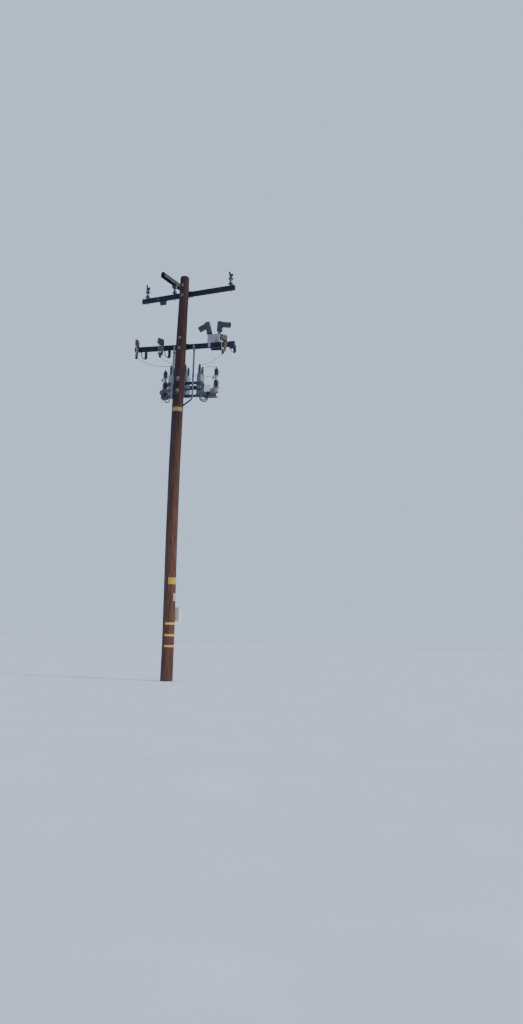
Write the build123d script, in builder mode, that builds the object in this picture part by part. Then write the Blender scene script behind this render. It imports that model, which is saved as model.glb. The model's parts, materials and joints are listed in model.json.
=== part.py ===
from build123d import *
import math
import os

# Wooden utility pole with a line arm, an equipment arm and a rack of capacitors.
# The frame stands at the middle of the pole's foot: +Z up, +X along the
# equipment arm and +Y away from the road side. Lengths in millimetres.

# clearances
SEAT = 0.3          # left between curved faces of different pieces
RUN = 0.5           # play of a turning pin in its eye
BOLT_PLAY = 1       # play of a bolt or pin in its drilled hole

# pole: height, radius and sideways sweep at stations up the trunk
POLE_STATIONS = (
    (0, 170, 0),
    (1090, 166, 0),
    (3830, 164, -42),
    (5800, 162, -56),
    (7600, 161, -46),
    (9500, 150, -26),
    (10800, 136, -12),
    (11545, 131, -5),
)
POLE_TOP = 11570
POLE_TOP_RADIUS = 115
BOLT_HOLE_REACH = 260

# arms
ARM_LENGTH = 3048
ARM_HEIGHT = 140
ARM_DEPTH = 92
ARM_EDGE = 8
ARM_OFFSET = 205
LINE_ARM_Z = 11118
LINE_ARM_YAW = 8.8
EQUIP_ARM_Z = 9510
EQUIP_ARM_X = -7
BOLT_RADIUS = 9.5
BOLT_PITCH = 310

# line insulators along the line arm, the outer ones set in from its ends
LINE_INSULATOR_AT = (162 - ARM_LENGTH / 2, -440, ARM_LENGTH / 2 - 134)
PIN_RADIUS = 12.5

# fused cutouts and arresters along the equipment arm, the outer ones set in from its ends
ARM_LEFT = EQUIP_ARM_X - ARM_LENGTH / 2
ARM_RIGHT = EQUIP_ARM_X + ARM_LENGTH / 2
CUTOUT_X = (ARM_LEFT + 94, -631, ARM_RIGHT - 220)
CUTOUT_TURN = (15, -12, -22)
ARRESTER_X = (ARM_LEFT + 350, -450, ARM_RIGHT - 17)
TUBE_LEAN = 4

# voltage transformer on the equipment arm
TANK_X = ARM_RIGHT - 628
TANK_WIDTH = 368
TANK_DEPTH = 220
TANK_HEIGHT = 249

# capacitor rack
RACK_LEFT = -525
RACK_RIGHT = 555
RACK_FRONT = 262
RACK_DEPTH = 400
RAIL_THICK = 6
TOP_RAIL_Z = 8430
TOP_RAIL_HEIGHT = 88
MIDDLE_RAIL_Z = 8240
MIDDLE_RAIL_HEIGHT = 36
FOOT_RAIL_Z = 8043
FOOT_RAIL_HEIGHT = 80
CAPACITOR_X = (-420, 20, 452)
CAPACITOR_WIDTH = 135
CAPACITOR_DEPTH = 343
CAPACITOR_TOP = 8715
CAPACITOR_HEIGHT = 620
CAPACITOR_BUSHING_PITCH = 260
SWITCH_X = (-640, 928)
RACK_BOLT_ASIDE = 22

ARM_TOP = EQUIP_ARM_Z + ARM_HEIGHT / 2
ARM_UNDER = EQUIP_ARM_Z - ARM_HEIGHT / 2
ARM_FRONT = ARM_OFFSET - ARM_DEPTH / 2
ARM_BACK = ARM_OFFSET + ARM_DEPTH / 2
RACK_BACK = RACK_FRONT + RACK_DEPTH
RACK_MIDDLE = (RACK_FRONT + RACK_BACK) / 2
CAPACITOR_FRONT = RACK_MIDDLE - CAPACITOR_DEPTH / 2
CAPACITOR_BUSHING_Y = tuple(RACK_MIDDLE + s * CAPACITOR_BUSHING_PITCH / 2 for s in (-1, 1))


def station(height, column):
    """The pole's radius (column 1) or sideways sweep (column 2) at a height."""
    for low, high in zip(POLE_STATIONS, POLE_STATIONS[1:]):
        if low[0] <= height <= high[0]:
            share = (height - low[0]) / (high[0] - low[0])
            return low[column] + share * (high[column] - low[column])
    return POLE_STATIONS[-1][column]


def pole_radius(height):
    return station(height, 1)


def pole_x(height):
    return station(height, 2)


def level(height):
    """Horizontal plane on the pole's own axis at a height."""
    return Plane(origin=(pole_x(height), 0, height), x_dir=(1, 0, 0), z_dir=(0, 0, 1))


def turned(profile, base=(0, 0, 0), up=(0, 0, 1), mode=Mode.ADD):
    """Adds a solid of revolution, profile in (radius, height), standing on base along up."""
    lean = Vector(*up).normalized()
    side = lean.cross(Vector(0, 1, 0)) if abs(lean.Y) < 0.9 else lean.cross(Vector(1, 0, 0))
    side = side.normalized()
    sheet = Plane(origin=base, x_dir=side, z_dir=side.cross(lean))
    with BuildSketch(sheet) as section:
        with BuildLine():
            Polyline(*profile, close=True)
        make_face()
    revolve(section.sketch, axis=Axis(base, tuple(lean)), mode=mode)


def shed_profile(core, shed, length, count):
    """Half section of an insulator with drip sheds along its length."""
    pitch = length / count
    points = [(0, 0), (core, 0)]
    for i in range(count):
        low = i * pitch
        points += [
            (core, low + 0.18 * pitch),
            (shed, low + 0.10 * pitch),
            (shed, low + 0.26 * pitch),
            (core, low + 0.72 * pitch),
        ]
    points += [(core, length), (0, length)]
    return points


def block(low, high, mode=Mode.ADD):
    """Adds a box between two corners."""
    size = [b - a for a, b in zip(low, high)]
    middle = [(a + b) / 2 for a, b in zip(low, high)]
    with Locations(tuple(middle)):
        return Box(*size, mode=mode)


def rod(start, end, radius, mode=Mode.ADD):
    """Adds a round bar from start to end."""
    run = Vector(*end) - Vector(*start)
    with BuildSketch(Plane(origin=start, z_dir=tuple(run))) as end_face:
        Circle(radius)
    return extrude(end_face.sketch, amount=run.length, mode=mode)


def bend_radii(points):
    """One bend radius a corner: as wide as the shorter of its two runs allows."""
    radii = []
    for a, b, c in zip(points, points[1:], points[2:]):
        first = Vector(*b) - Vector(*a)
        second = Vector(*c) - Vector(*b)
        turn = math.radians(first.get_angle(second))
        radii.append(0.45 * min(first.length, second.length) / math.tan(turn / 2))
    return radii


def hanging(start, end, drop, count, swing=(0, 0)):
    """Route that hangs between two points: count runs, drop at the middle, swing aside."""
    points = []
    for i in range(count + 1):
        share = i / count
        belly = 4 * share * (1 - share)
        points.append(
            (
                start[0] + share * (end[0] - start[0]) + swing[0] * belly,
                start[1] + share * (end[1] - start[1]) + swing[1] * belly,
                start[2] + share * (end[2] - start[2]) - drop * belly,
            )
        )
    return points


def cable(points, radius, title):
    """Adds a round cable along a route of straight runs joined by tangent bends."""
    start = Vector(*points[0])
    run = Vector(*points[1]) - start
    radii = bend_radii(points)
    print(title, "diameter", 2 * radius, "bend radii", [round(bend) for bend in radii])
    with BuildLine() as route:
        FilletPolyline(*points, radius=radii)
    with BuildSketch(Plane(origin=points[0], z_dir=tuple(run))) as section:
        Circle(radius)
    sweep(section.sketch, path=route.wires()[0])


def save(piece, name):
    piece.part.label = name
    export_step(piece.part, "parts/" + name + ".step")


os.makedirs("parts", exist_ok=True)


def trunk_clear(low, high):
    """Cuts the trunk's room, plus a seat gap, out of the piece between two heights."""
    heights = [low] + [h for h, _, _ in POLE_STATIONS if low < h < high] + [high]
    rings = []
    for height in heights:
        with BuildSketch(level(height)) as ring:
            Circle(pole_radius(height) + SEAT)
        rings.append(ring.sketch)
    loft(rings, ruled=True, mode=Mode.SUBTRACT)


def wrap(low, high, start, end, gap, thick):
    """Adds a thin plate bent round the pole between two heights, angles from +X."""
    ends = []
    for height in (low, high):
        inner = pole_radius(height) + gap
        with BuildSketch(level(height)) as section:
            with BuildLine():
                back = CenterArc((0, 0), inner, start, end - start)
                front = CenterArc((0, 0), inner + thick, start, end - start)
                Line(back @ 0, front @ 0)
                Line(back @ 1, front @ 1)
            make_face()
        ends.append(section.sketch)
    loft(ends)


def on_line_arm(along, out, height):
    """Point given along the yawed line arm, out behind the pole, and by height."""
    yaw = math.radians(LINE_ARM_YAW)
    return (
        along * math.cos(yaw) + out * math.sin(yaw),
        -along * math.sin(yaw) + out * math.cos(yaw),
        height,
    )


def line_direction(along, out):
    return on_line_arm(along, out, 0)


LINE_ARM_SECTION = Plane(
    origin=on_line_arm(-ARM_LENGTH / 2, ARM_OFFSET, LINE_ARM_Z),
    x_dir=line_direction(0, 1),
    z_dir=line_direction(1, 0),
)
LINE_TOP = LINE_ARM_Z + ARM_HEIGHT / 2
LINE_UNDER = LINE_ARM_Z - ARM_HEIGHT / 2
LINE_BOLT_Z = (LINE_ARM_Z - BOLT_PITCH / 2, LINE_ARM_Z + BOLT_PITCH / 2)
EQUIP_BOLTS = [(pole_x(EQUIP_ARM_Z), EQUIP_ARM_Z + half * BOLT_PITCH) for half in (-0.5, 0.5)]
RACK_BOLTS = [(pole_x(8245) + RACK_BOLT_ASIDE, height) for height in (8065, 8425)]

# Wooden trunk, tapered and slightly swept, with drilled bolt holes
with BuildPart() as pole:
    for height, radius, _ in POLE_STATIONS:
        with BuildSketch(level(height)):
            Circle(radius)
    with BuildSketch(level(POLE_TOP)):
        Circle(POLE_TOP_RADIUS)
    loft(ruled=True)
    for height in LINE_BOLT_Z:
        rod(
            on_line_arm(0, -BOLT_HOLE_REACH, height),
            on_line_arm(0, BOLT_HOLE_REACH, height),
            BOLT_RADIUS + BOLT_PLAY,
            Mode.SUBTRACT,
        )
    for x, height in EQUIP_BOLTS + RACK_BOLTS:
        rod(
            (x, -BOLT_HOLE_REACH, height),
            (x, BOLT_HOLE_REACH, height),
            BOLT_RADIUS + BOLT_PLAY,
            Mode.SUBTRACT,
        )
save(pole, "pole")

# Sheet bands and plates bent round the trunk: low edge, high edge, start and end angle
UPPER_BAND = (7488, 7610, -130, -14)
NUMBER_PLATE = (2600, 2782, -87, 14)
SIDE_TAG = (2146, 2362, -32, 24)
STRIP_MIDDLES = (932, 1222, 1534)
STRIP_HEIGHT = 56
STRIP_SPAN = (-107, 62)

with BuildPart() as upper_band:
    wrap(*UPPER_BAND, SEAT, 2)
save(upper_band, "upper_band")

with BuildPart() as reflective_strips:
    for middle in STRIP_MIDDLES:
        wrap(middle - STRIP_HEIGHT / 2, middle + STRIP_HEIGHT / 2, *STRIP_SPAN, SEAT, 1.5)
save(reflective_strips, "reflective_strips")

with BuildPart() as number_plate:
    wrap(*NUMBER_PLATE, SEAT, 2)
save(number_plate, "number_plate")

with BuildPart() as side_tag:
    wrap(*SIDE_TAG, SEAT, 2)
save(side_tag, "side_tag")

# Control cabinet on the back of the pole, on two plate brackets
CABINET_Z = (1607, 1972)
CABINET_X = (-170, 214)
CABINET_Y = (206, 386)
CABINET_ROOF = 10
CABINET_EAVE = 8
BRACKET_IN = 60
with BuildPart() as cabinet:
    block((CABINET_X[0], CABINET_Y[0], CABINET_Z[0]), (CABINET_X[1], CABINET_Y[1], CABINET_Z[1]))
    fillet(cabinet.edges().filter_by(Axis.Z), 12)
    block(
        (CABINET_X[0] - CABINET_EAVE, CABINET_Y[0] + 14, CABINET_Z[1]),
        (CABINET_X[1] + CABINET_EAVE, CABINET_Y[1] + CABINET_EAVE, CABINET_Z[1] + CABINET_ROOF),
    )
    # door on the back face, with two hinge barrels and a latch
    block(
        (CABINET_X[0] + 14, CABINET_Y[1], CABINET_Z[0] + 14),
        (CABINET_X[1] - 14, CABINET_Y[1] + 6, CABINET_Z[1] - 20),
    )
    for height in (CABINET_Z[0] + 70, CABINET_Z[1] - 90):
        rod(
            (CABINET_X[0] + 14, CABINET_Y[1] + 4, height),
            (CABINET_X[0] + 14, CABINET_Y[1] + 4, height + 46),
            6,
        )
    block(
        (CABINET_X[1] - 44, CABINET_Y[1] + 6, CABINET_Z[0] + 160),
        (CABINET_X[1] - 26, CABINET_Y[1] + 16, CABINET_Z[0] + 214),
    )
save(cabinet, "control_cabinet")

with BuildPart() as cabinet_bracket:
    for height in (CABINET_Z[0] + BRACKET_IN, CABINET_Z[1] - BRACKET_IN):
        block((-60, 120, height - 20), (60, CABINET_Y[0], height + 20))
        trunk_clear(height - 30, height + 30)
save(cabinet_bracket, "cabinet_bracket")

# Line arm: squared timber, yawed on the pole, drilled for its pins
with BuildPart() as line_arm:
    with BuildSketch(LINE_ARM_SECTION):
        Rectangle(ARM_DEPTH, ARM_HEIGHT)
        chamfer(vertices(), ARM_EDGE)
    extrude(amount=ARM_LENGTH)
    for along in LINE_INSULATOR_AT:
        rod(
            on_line_arm(along, ARM_OFFSET, LINE_ARM_Z - ARM_HEIGHT),
            on_line_arm(along, ARM_OFFSET, LINE_ARM_Z + ARM_HEIGHT),
            PIN_RADIUS + BOLT_PLAY,
            Mode.SUBTRACT,
        )
save(line_arm, "line_arm")

BRACKET_WIDTH = 130
BRACKET_THICK = 80
SLEEVE_WALL = 6
SLEEVE_REACH = 150


def arm_bracket(middle, across, behind, bolts, clear):
    """Back plate on the pole and a sleeve round the arm, standing off by the saddle's depth."""
    face = Vector(*middle) - Vector(*behind) * (ARM_DEPTH / 2)
    plate = Plane(origin=tuple(face), x_dir=across, z_dir=tuple(-Vector(*behind)))
    with BuildSketch(plate) as outline:
        Rectangle(BRACKET_WIDTH, BOLT_PITCH + 90)
        fillet(outline.vertices(), 22)
    extrude(outline.sketch, amount=BRACKET_THICK)
    with BuildSketch(Plane(origin=middle, x_dir=behind, z_dir=across)) as sleeve:
        Rectangle(ARM_DEPTH + 2 * SLEEVE_WALL, ARM_HEIGHT + 2 * SLEEVE_WALL)
        Rectangle(ARM_DEPTH, ARM_HEIGHT, mode=Mode.SUBTRACT)
    extrude(sleeve.sketch, amount=SLEEVE_REACH, both=True)
    trunk_clear(*clear)
    for height in bolts:
        base = Vector(middle[0], middle[1], height)
        rod(
            tuple(base - Vector(*behind) * 250),
            tuple(base + Vector(*behind) * 60),
            BOLT_RADIUS + BOLT_PLAY,
            Mode.SUBTRACT,
        )


# dark moulding hung under the arm's left half, and the pale strap beside it
ARM_BLOCK = (-898, -722)
ARM_BLOCK_DROP = 130
ARM_STRAP = (-1012, -920)
with BuildPart() as line_arm_bracket:
    arm_bracket(
        on_line_arm(0, ARM_OFFSET, LINE_ARM_Z),
        line_direction(1, 0),
        line_direction(0, 1),
        LINE_BOLT_Z,
        (10800, 11545),
    )
    with BuildSketch(
        Plane(
            origin=on_line_arm(ARM_STRAP[0], ARM_FRONT - 4, LINE_ARM_Z),
            x_dir=line_direction(0, 1),
            z_dir=line_direction(1, 0),
        )
    ) as strap:
        Rectangle(8, ARM_HEIGHT - 30)
    extrude(strap.sketch, amount=ARM_STRAP[1] - ARM_STRAP[0])
save(line_arm_bracket, "line_arm_bracket")

with BuildPart() as arm_block:
    with BuildSketch(
        Plane(
            origin=on_line_arm(ARM_BLOCK[0], ARM_OFFSET, LINE_UNDER),
            x_dir=line_direction(0, 1),
            z_dir=line_direction(1, 0),
        )
    ) as profile:
        with Locations((0, -ARM_BLOCK_DROP / 2)):
            Rectangle(96, ARM_BLOCK_DROP)
        chamfer(profile.vertices().group_by(Axis.Z)[0], 24)
    extrude(profile.sketch, amount=ARM_BLOCK[1] - ARM_BLOCK[0])
    for share in (0.2, 0.5, 0.8):
        along = ARM_BLOCK[0] + share * (ARM_BLOCK[1] - ARM_BLOCK[0])
        with BuildSketch(
            Plane(
                origin=on_line_arm(along - 7, ARM_OFFSET, LINE_UNDER),
                x_dir=line_direction(0, 1),
                z_dir=line_direction(1, 0),
            )
        ) as rib:
            with Locations((0, -ARM_BLOCK_DROP / 2 - 4)):
                Rectangle(112, ARM_BLOCK_DROP - 20)
            chamfer(rib.vertices(), 22)
        extrude(rib.sketch, amount=14)
save(arm_block, "arm_block")

# Steel pins through the line arm, each with a washer and nut below and a shoulder above
PIN_RISE = 37
with BuildPart() as insulator_pins:
    for along in LINE_INSULATOR_AT:
        turned(
            (
                (0, -44),
                (PIN_RADIUS, -44),
                (PIN_RADIUS, -30),
                (22, -30),
                (22, -8),
                (36, -8),
                (36, 0),
                (PIN_RADIUS, 0),
                (PIN_RADIUS, ARM_HEIGHT),
                (36, ARM_HEIGHT),
                (34, ARM_HEIGHT + 10),
                (24, ARM_HEIGHT + 18),
                (20, ARM_HEIGHT + PIN_RISE),
                (0, ARM_HEIGHT + PIN_RISE),
            ),
            on_line_arm(along, ARM_OFFSET, LINE_UNDER),
        )
save(insulator_pins, "insulator_pins")

# Two-skirt pin insulators
INSULATOR_HEIGHT = 245
INSULATOR_HALF = (
    (0, 0),
    (38, 0),
    (45, 5),
    (70, 7),
    (73, 17),
    (67, 34),
    (52, 58),
    (43, 74),
    (41, 100),
    (41, 140),
    (48, 152),
    (72, 160),
    (76, 171),
    (75, 190),
    (63, 212),
    (48, 222),
    (38, 228),
    (45, 236),
    (40, 241),
    (32, INSULATOR_HEIGHT),
    (0, INSULATOR_HEIGHT),
)
with BuildPart() as line_insulators:
    for along in LINE_INSULATOR_AT:
        turned(INSULATOR_HALF, on_line_arm(along, ARM_OFFSET, LINE_TOP + PIN_RISE))
save(line_insulators, "line_insulators")

# Clamp tops on the two outer insulators: a socket, a trough along the line and two jaws
CLAMP_Z = LINE_TOP + PIN_RISE + INSULATOR_HEIGHT
CLAMPS = ((LINE_INSULATOR_AT[0], 62), (LINE_INSULATOR_AT[2], 0))
CLAMP_JAWS = ((-1, 132, 0.24), (1, 62, 0.62))
with BuildPart() as clamp:
    turned(((0, 0), (34, 0), (50, 14), (54, 36), (48, 50), (0, 50)))
    rod((0, -64, 52), (0, 64, 52), 23)
    for side, rise, lean in CLAMP_JAWS:
        turned(
            ((0, 0), (21, 0), (24, rise * 0.5), (26, rise - 18), (14, rise), (0, rise)),
            (side * 24, 0, 30),
            (side * lean, 0, 1),
        )
with BuildPart() as line_clamps:
    for along, turn in CLAMPS:
        with Locations(Location(on_line_arm(along, ARM_OFFSET, CLAMP_Z), (0, 0, turn))):
            add(clamp.part)
save(line_clamps, "line_clamps")

# Cover over the middle insulator: a hood and two channel arms along the line
COVER_TURN = 14
COVER_Z = LINE_TOP + 298
COVER_ARM = 640
COVER_WIDTH = 62
COVER_HEIGHT = 135
COVER_WALL = 5
COVER_LIP = 14
cover_middle = on_line_arm(LINE_INSULATOR_AT[1], ARM_OFFSET, COVER_Z)
cover_along = (math.sin(math.radians(COVER_TURN)), math.cos(math.radians(COVER_TURN)), 0)
HOOD_OUTLINE = ((0, -75), (90, -75), (93, 70), (84, 104), (54, 124), (0, 130))


def channel(width, height, slope, length, start, mode=Mode.ADD):
    """Extrudes the cover's roof-shaped section both ways along the line."""
    for side in (-1, 1):
        run = Vector(*cover_along) * side
        with BuildSketch(
            Plane(origin=cover_middle, x_dir=Vector(0, 0, 1).cross(run), z_dir=run)
        ) as section:
            with BuildLine():
                Polyline(
                    (-width, start),
                    (-width, height - slope),
                    (slope - width, height),
                    (width - slope, height),
                    (width, height - slope),
                    (width, start),
                    close=True,
                )
            make_face()
        extrude(section.sketch, amount=length, mode=mode)


with BuildPart() as hood_hollow:
    turned(
        tuple((max(0, r - COVER_WALL), z - (COVER_WALL if z > 0 else 9)) for r, z in HOOD_OUTLINE),
        cover_middle,
    )
with BuildPart() as conductor_cover:
    channel(COVER_WIDTH, COVER_HEIGHT, 30, COVER_ARM, 0)
    channel(COVER_WIDTH + COVER_LIP, COVER_WALL, 1, COVER_ARM, 0)
    turned(HOOD_OUTLINE, cover_middle)
    channel(
        COVER_WIDTH - COVER_WALL,
        COVER_HEIGHT - COVER_WALL,
        28,
        COVER_ARM + 10,
        -10,
        Mode.SUBTRACT,
    )
    add(hood_hollow.part, mode=Mode.SUBTRACT)
    turned(
        ((0, CLAMP_Z - COVER_Z), (28, CLAMP_Z - COVER_Z), (28, COVER_HEIGHT - 4), (0, COVER_HEIGHT - 3)),
        cover_middle,
    )
save(conductor_cover, "conductor_cover")

# Equipment arm: squared timber, square to the pole
with BuildPart() as equipment_arm:
    with BuildSketch(
        Plane(origin=(ARM_LEFT, ARM_OFFSET, EQUIP_ARM_Z), x_dir=(0, 1, 0), z_dir=(1, 0, 0))
    ):
        Rectangle(ARM_DEPTH, ARM_HEIGHT)
        chamfer(vertices(), ARM_EDGE)
    extrude(amount=ARM_LENGTH)
save(equipment_arm, "equipment_arm")

with BuildPart() as equipment_arm_bracket:
    arm_bracket(
        (pole_x(EQUIP_ARM_Z), ARM_OFFSET, EQUIP_ARM_Z),
        (1, 0, 0),
        (0, 1, 0),
        [height for _, height in EQUIP_BOLTS],
        (9200, 9900),
    )
save(equipment_arm_bracket, "equipment_arm_bracket")

# Through bolts: plate washer and nut on the road side, head on the bracket side
WASHER = (82, 82)
RACK_WASHER = (104, 150)
RACK_PLATE_BACK = 200
NUT_RADIUS = 17


def through_bolt(height, x, behind, back, washer):
    """One bolt through the pole at a height, from its front washer to the plate behind."""
    out = Vector(*behind)
    base = Vector(x, 0, height)
    front = base - out * (pole_radius(height) + 4)
    with BuildSketch(Plane(origin=tuple(front), x_dir=(0, 0, 1), z_dir=tuple(-out))) as square:
        Rectangle(washer[1], washer[0])
        chamfer(square.vertices(), 8)
    extrude(square.sketch, amount=8)
    with BuildSketch(Plane(origin=tuple(front - out * 8), x_dir=(0, 0, 1), z_dir=tuple(-out))) as nut:
        RegularPolygon(NUT_RADIUS, 6)
    extrude(nut.sketch, amount=16)
    rod(tuple(front - out * 52), tuple(base + out * (back + 20)), BOLT_RADIUS)
    with BuildSketch(Plane(origin=tuple(base + out * back), x_dir=(0, 0, 1), z_dir=tuple(out))) as head:
        RegularPolygon(NUT_RADIUS, 6)
    extrude(head.sketch, amount=14)


with BuildPart() as pole_bolts:
    for height in LINE_BOLT_Z:
        through_bolt(height, 0, line_direction(0, 1), ARM_FRONT, WASHER)
    for x, height in EQUIP_BOLTS:
        through_bolt(height, x, (0, 1, 0), ARM_FRONT, WASHER)
    for x, height in RACK_BOLTS:
        through_bolt(height, x, (0, 1, 0), RACK_PLATE_BACK, RACK_WASHER)
save(pole_bolts, "pole_bolts")

# Fused cutouts on the front of the equipment arm. One of each piece is drawn about the
# middle of its foot on the arm, -Y out from the arm, and set three times with its turn.
CUTOUT_PLACES = [
    Location((x, ARM_FRONT, EQUIP_ARM_Z), (0, 0, turn)) for x, turn in zip(CUTOUT_X, CUTOUT_TURN)
]
BODY_OUT = 70
BODY_CORE = 30
BODY_SHED = 46
BODY_HALF = 24
SHED_RUN = 160
CAP_LOW = BODY_HALF + SHED_RUN
CAP_TALL = 20
CAP_RADIUS = 34
CONTACT_Z = 174
CONTACT_END = 262
HINGE_OUT = 216
HINGE_DROP = 258
HINGE_PIN = 5
CHEEK_IN = 22
CHEEK_THICK = 6
TUBE_TOP = 420
BALL_OUT = 158
BALL_DROP = 316
BALL_RADIUS = 42
FOOT_PLATE = 10
FOOT_HALF = (36, 44)
POST_OUT = 28


def out_box(side_low, side_high, out_low, out_high, low, high, mode=Mode.ADD):
    """Box in a cutout's own frame, by its sides, its reach out from the arm and its heights."""
    block((side_low, -out_high, low), (side_high, -out_low, high), mode)


def three_times(one):
    """Sets one cutout's piece at each of the three places."""
    with Locations(*CUTOUT_PLACES):
        add(one.part)


with BuildPart() as one_bracket:
    turned(((0, -16), (24, -16), (24, 16), (0, 16)), (0, -POST_OUT, 0))
    out_box(-20, 20, POST_OUT, BODY_OUT - BODY_CORE + 2, -13, 13)
    turned(
        ((BODY_CORE + SEAT, 0), (45, 0), (45, 28), (BODY_CORE + SEAT, 28)),
        (0, -BODY_OUT, -14),
    )
with BuildPart() as cutout_brackets:
    three_times(one_bracket)
    for x in CUTOUT_X:
        block(
            (x - FOOT_HALF[0], ARM_FRONT - FOOT_PLATE, EQUIP_ARM_Z - FOOT_HALF[1]),
            (x + FOOT_HALF[0], ARM_FRONT, EQUIP_ARM_Z + FOOT_HALF[1]),
        )
    for x, turn in zip(CUTOUT_X, CUTOUT_TURN):
        with Locations(Location((x, ARM_FRONT, EQUIP_ARM_Z), (0, 0, turn))):
            with Locations((0, -BODY_OUT, 0)):
                Cylinder(BODY_CORE + SEAT, 40, mode=Mode.SUBTRACT)
save(cutout_brackets, "cutout_brackets")

with BuildPart() as one_insulator:
    turned(shed_profile(BODY_CORE, BODY_SHED, SHED_RUN, 4), (0, -BODY_OUT, BODY_HALF))
    turned(((0, 0), (BODY_CORE, 0), (BODY_CORE, 48), (0, 48)), (0, -BODY_OUT, -BODY_HALF))
    turned(shed_profile(BODY_CORE, BODY_SHED, SHED_RUN, 4), (0, -BODY_OUT, -CAP_LOW))
with BuildPart() as cutout_insulators:
    three_times(one_insulator)
save(cutout_insulators, "cutout_insulators")

# Upper contact: cap on the insulator, stepping down to an arm out over the fuse tube
with BuildPart() as one_contact:
    turned(
        ((0, 0), (CAP_RADIUS, 0), (CAP_RADIUS, CAP_TALL - 4), (28, CAP_TALL), (0, CAP_TALL)),
        (0, -BODY_OUT, CAP_LOW),
    )
    out_box(-15, 15, BODY_OUT + 20, BODY_OUT + 60, CAP_LOW, CAP_LOW + 8)
    out_box(-15, 15, BODY_OUT + 50, BODY_OUT + 60, CONTACT_Z, CAP_LOW + 8)
    out_box(-15, 15, BODY_OUT + 50, CONTACT_END, CONTACT_Z, CONTACT_Z + 8)
    out_box(-24, -18, BODY_OUT + 110, CONTACT_END - 10, CONTACT_Z - 26, CONTACT_Z + 8)
    out_box(18, 24, BODY_OUT + 110, CONTACT_END - 10, CONTACT_Z - 26, CONTACT_Z + 8)
    out_box(-24, 24, BODY_OUT + 110, BODY_OUT + 130, CONTACT_Z, CONTACT_Z + 8)
with BuildPart() as cutout_contacts:
    three_times(one_contact)
save(cutout_contacts, "cutout_contacts")

# Dark cover: a bell over the insulator's upper half and a box over the contact, each with a peak
HOOD_LOW = 46
HOOD_SIDE = 40
with BuildPart() as one_hood:
    turned(
        ((0, HOOD_LOW), (58, HOOD_LOW), (56, 202), (46, 216), (26, 230), (15, 252), (0, 254)),
        (0, -BODY_OUT, 0),
    )
    out_box(-HOOD_SIDE, HOOD_SIDE, BODY_OUT + 20, 266, HOOD_LOW + 4, 200)
    turned(((0, 196), (34, 196), (26, 218), (13, 228), (0, 230)), (0, -206, 0))
    turned(
        ((0, HOOD_LOW - 6), (53, HOOD_LOW - 6), (52, CAP_LOW + CAP_TALL), (0, CAP_LOW + CAP_TALL)),
        (0, -BODY_OUT, 0),
        mode=Mode.SUBTRACT,
    )
    out_box(4 - HOOD_SIDE, HOOD_SIDE - 4, BODY_OUT, 270, HOOD_LOW, 194, Mode.SUBTRACT)
with BuildPart() as cutout_hoods:
    three_times(one_hood)
save(cutout_hoods, "cutout_hoods")

# Lower hinge: cap, two cheeks, the pin and the stem of the lower terminal
with BuildPart() as one_hinge:
    turned(
        ((0, 0), (CAP_RADIUS, 0), (CAP_RADIUS, CAP_TALL), (0, CAP_TALL)),
        (0, -BODY_OUT, -CAP_LOW - CAP_TALL),
    )
    out_box(-28, 28, BODY_OUT - 20, BODY_OUT + 40, -226, -CAP_LOW - CAP_TALL)
    for side in (-1, 1):
        near, far = sorted((side * CHEEK_IN, side * (CHEEK_IN + CHEEK_THICK)))
        out_box(near, far, BODY_OUT, HINGE_OUT + 14, -274, -214)
    rod(
        (-CHEEK_IN - 12, -HINGE_OUT, -HINGE_DROP),
        (CHEEK_IN + 12, -HINGE_OUT, -HINGE_DROP),
        HINGE_PIN,
    )
    out_box(-12, 12, BODY_OUT, BALL_OUT + 12, -240, -224)
    out_box(-12, 12, BALL_OUT - 12, BALL_OUT + 12, BALL_RADIUS * 0.8 - BALL_DROP, -232)
with BuildPart() as cutout_hinges:
    three_times(one_hinge)
save(cutout_hinges, "cutout_hinges")

# Round cover on the lower terminal
with BuildPart() as one_ball:
    turned(
        (
            (0, -BALL_RADIUS),
            (20, -37),
            (36, -22),
            (BALL_RADIUS, 0),
            (38, 18),
            (27, BALL_RADIUS * 0.8 - 0.5),
            (0, BALL_RADIUS * 0.8 - 0.5),
        ),
        (0, -BALL_OUT, -BALL_DROP),
    )
with BuildPart() as terminal_covers:
    three_times(one_ball)
save(terminal_covers, "terminal_covers")

# Fuse tube, hinged at its foot, with a pull ring at its head
tube_up = (0, -math.sin(math.radians(TUBE_LEAN)), math.cos(math.radians(TUBE_LEAN)))
hinge = Vector(0, -HINGE_OUT, -HINGE_DROP)
with BuildPart() as one_tube:
    turned(
        (
            (0, -22),
            (14, -22),
            (16, -16),
            (16, 24),
            (13, 30),
            (13, TUBE_TOP - 40),
            (17, TUBE_TOP - 36),
            (17, TUBE_TOP - 6),
            (11, TUBE_TOP),
            (0, TUBE_TOP),
        ),
        tuple(hinge),
        tube_up,
    )
    with BuildSketch(
        Plane(
            origin=tuple(hinge + Vector(*tube_up) * (TUBE_TOP - 26) + Vector(0, -32, 0)),
            x_dir=(0, 1, 0),
            z_dir=(1, 0, 0),
        )
    ) as ring:
        Circle(22)
        Circle(15, mode=Mode.SUBTRACT)
    extrude(ring.sketch, amount=4, both=True)
    rod((-30, hinge.Y, hinge.Z), (30, hinge.Y, hinge.Z), HINGE_PIN + RUN, Mode.SUBTRACT)
for number, place in enumerate(CUTOUT_PLACES, 1):
    with BuildPart() as fuse_tube:
        with Locations(place):
            add(one_tube.part)
    save(fuse_tube, "fuse_tube_" + str(number))

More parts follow.
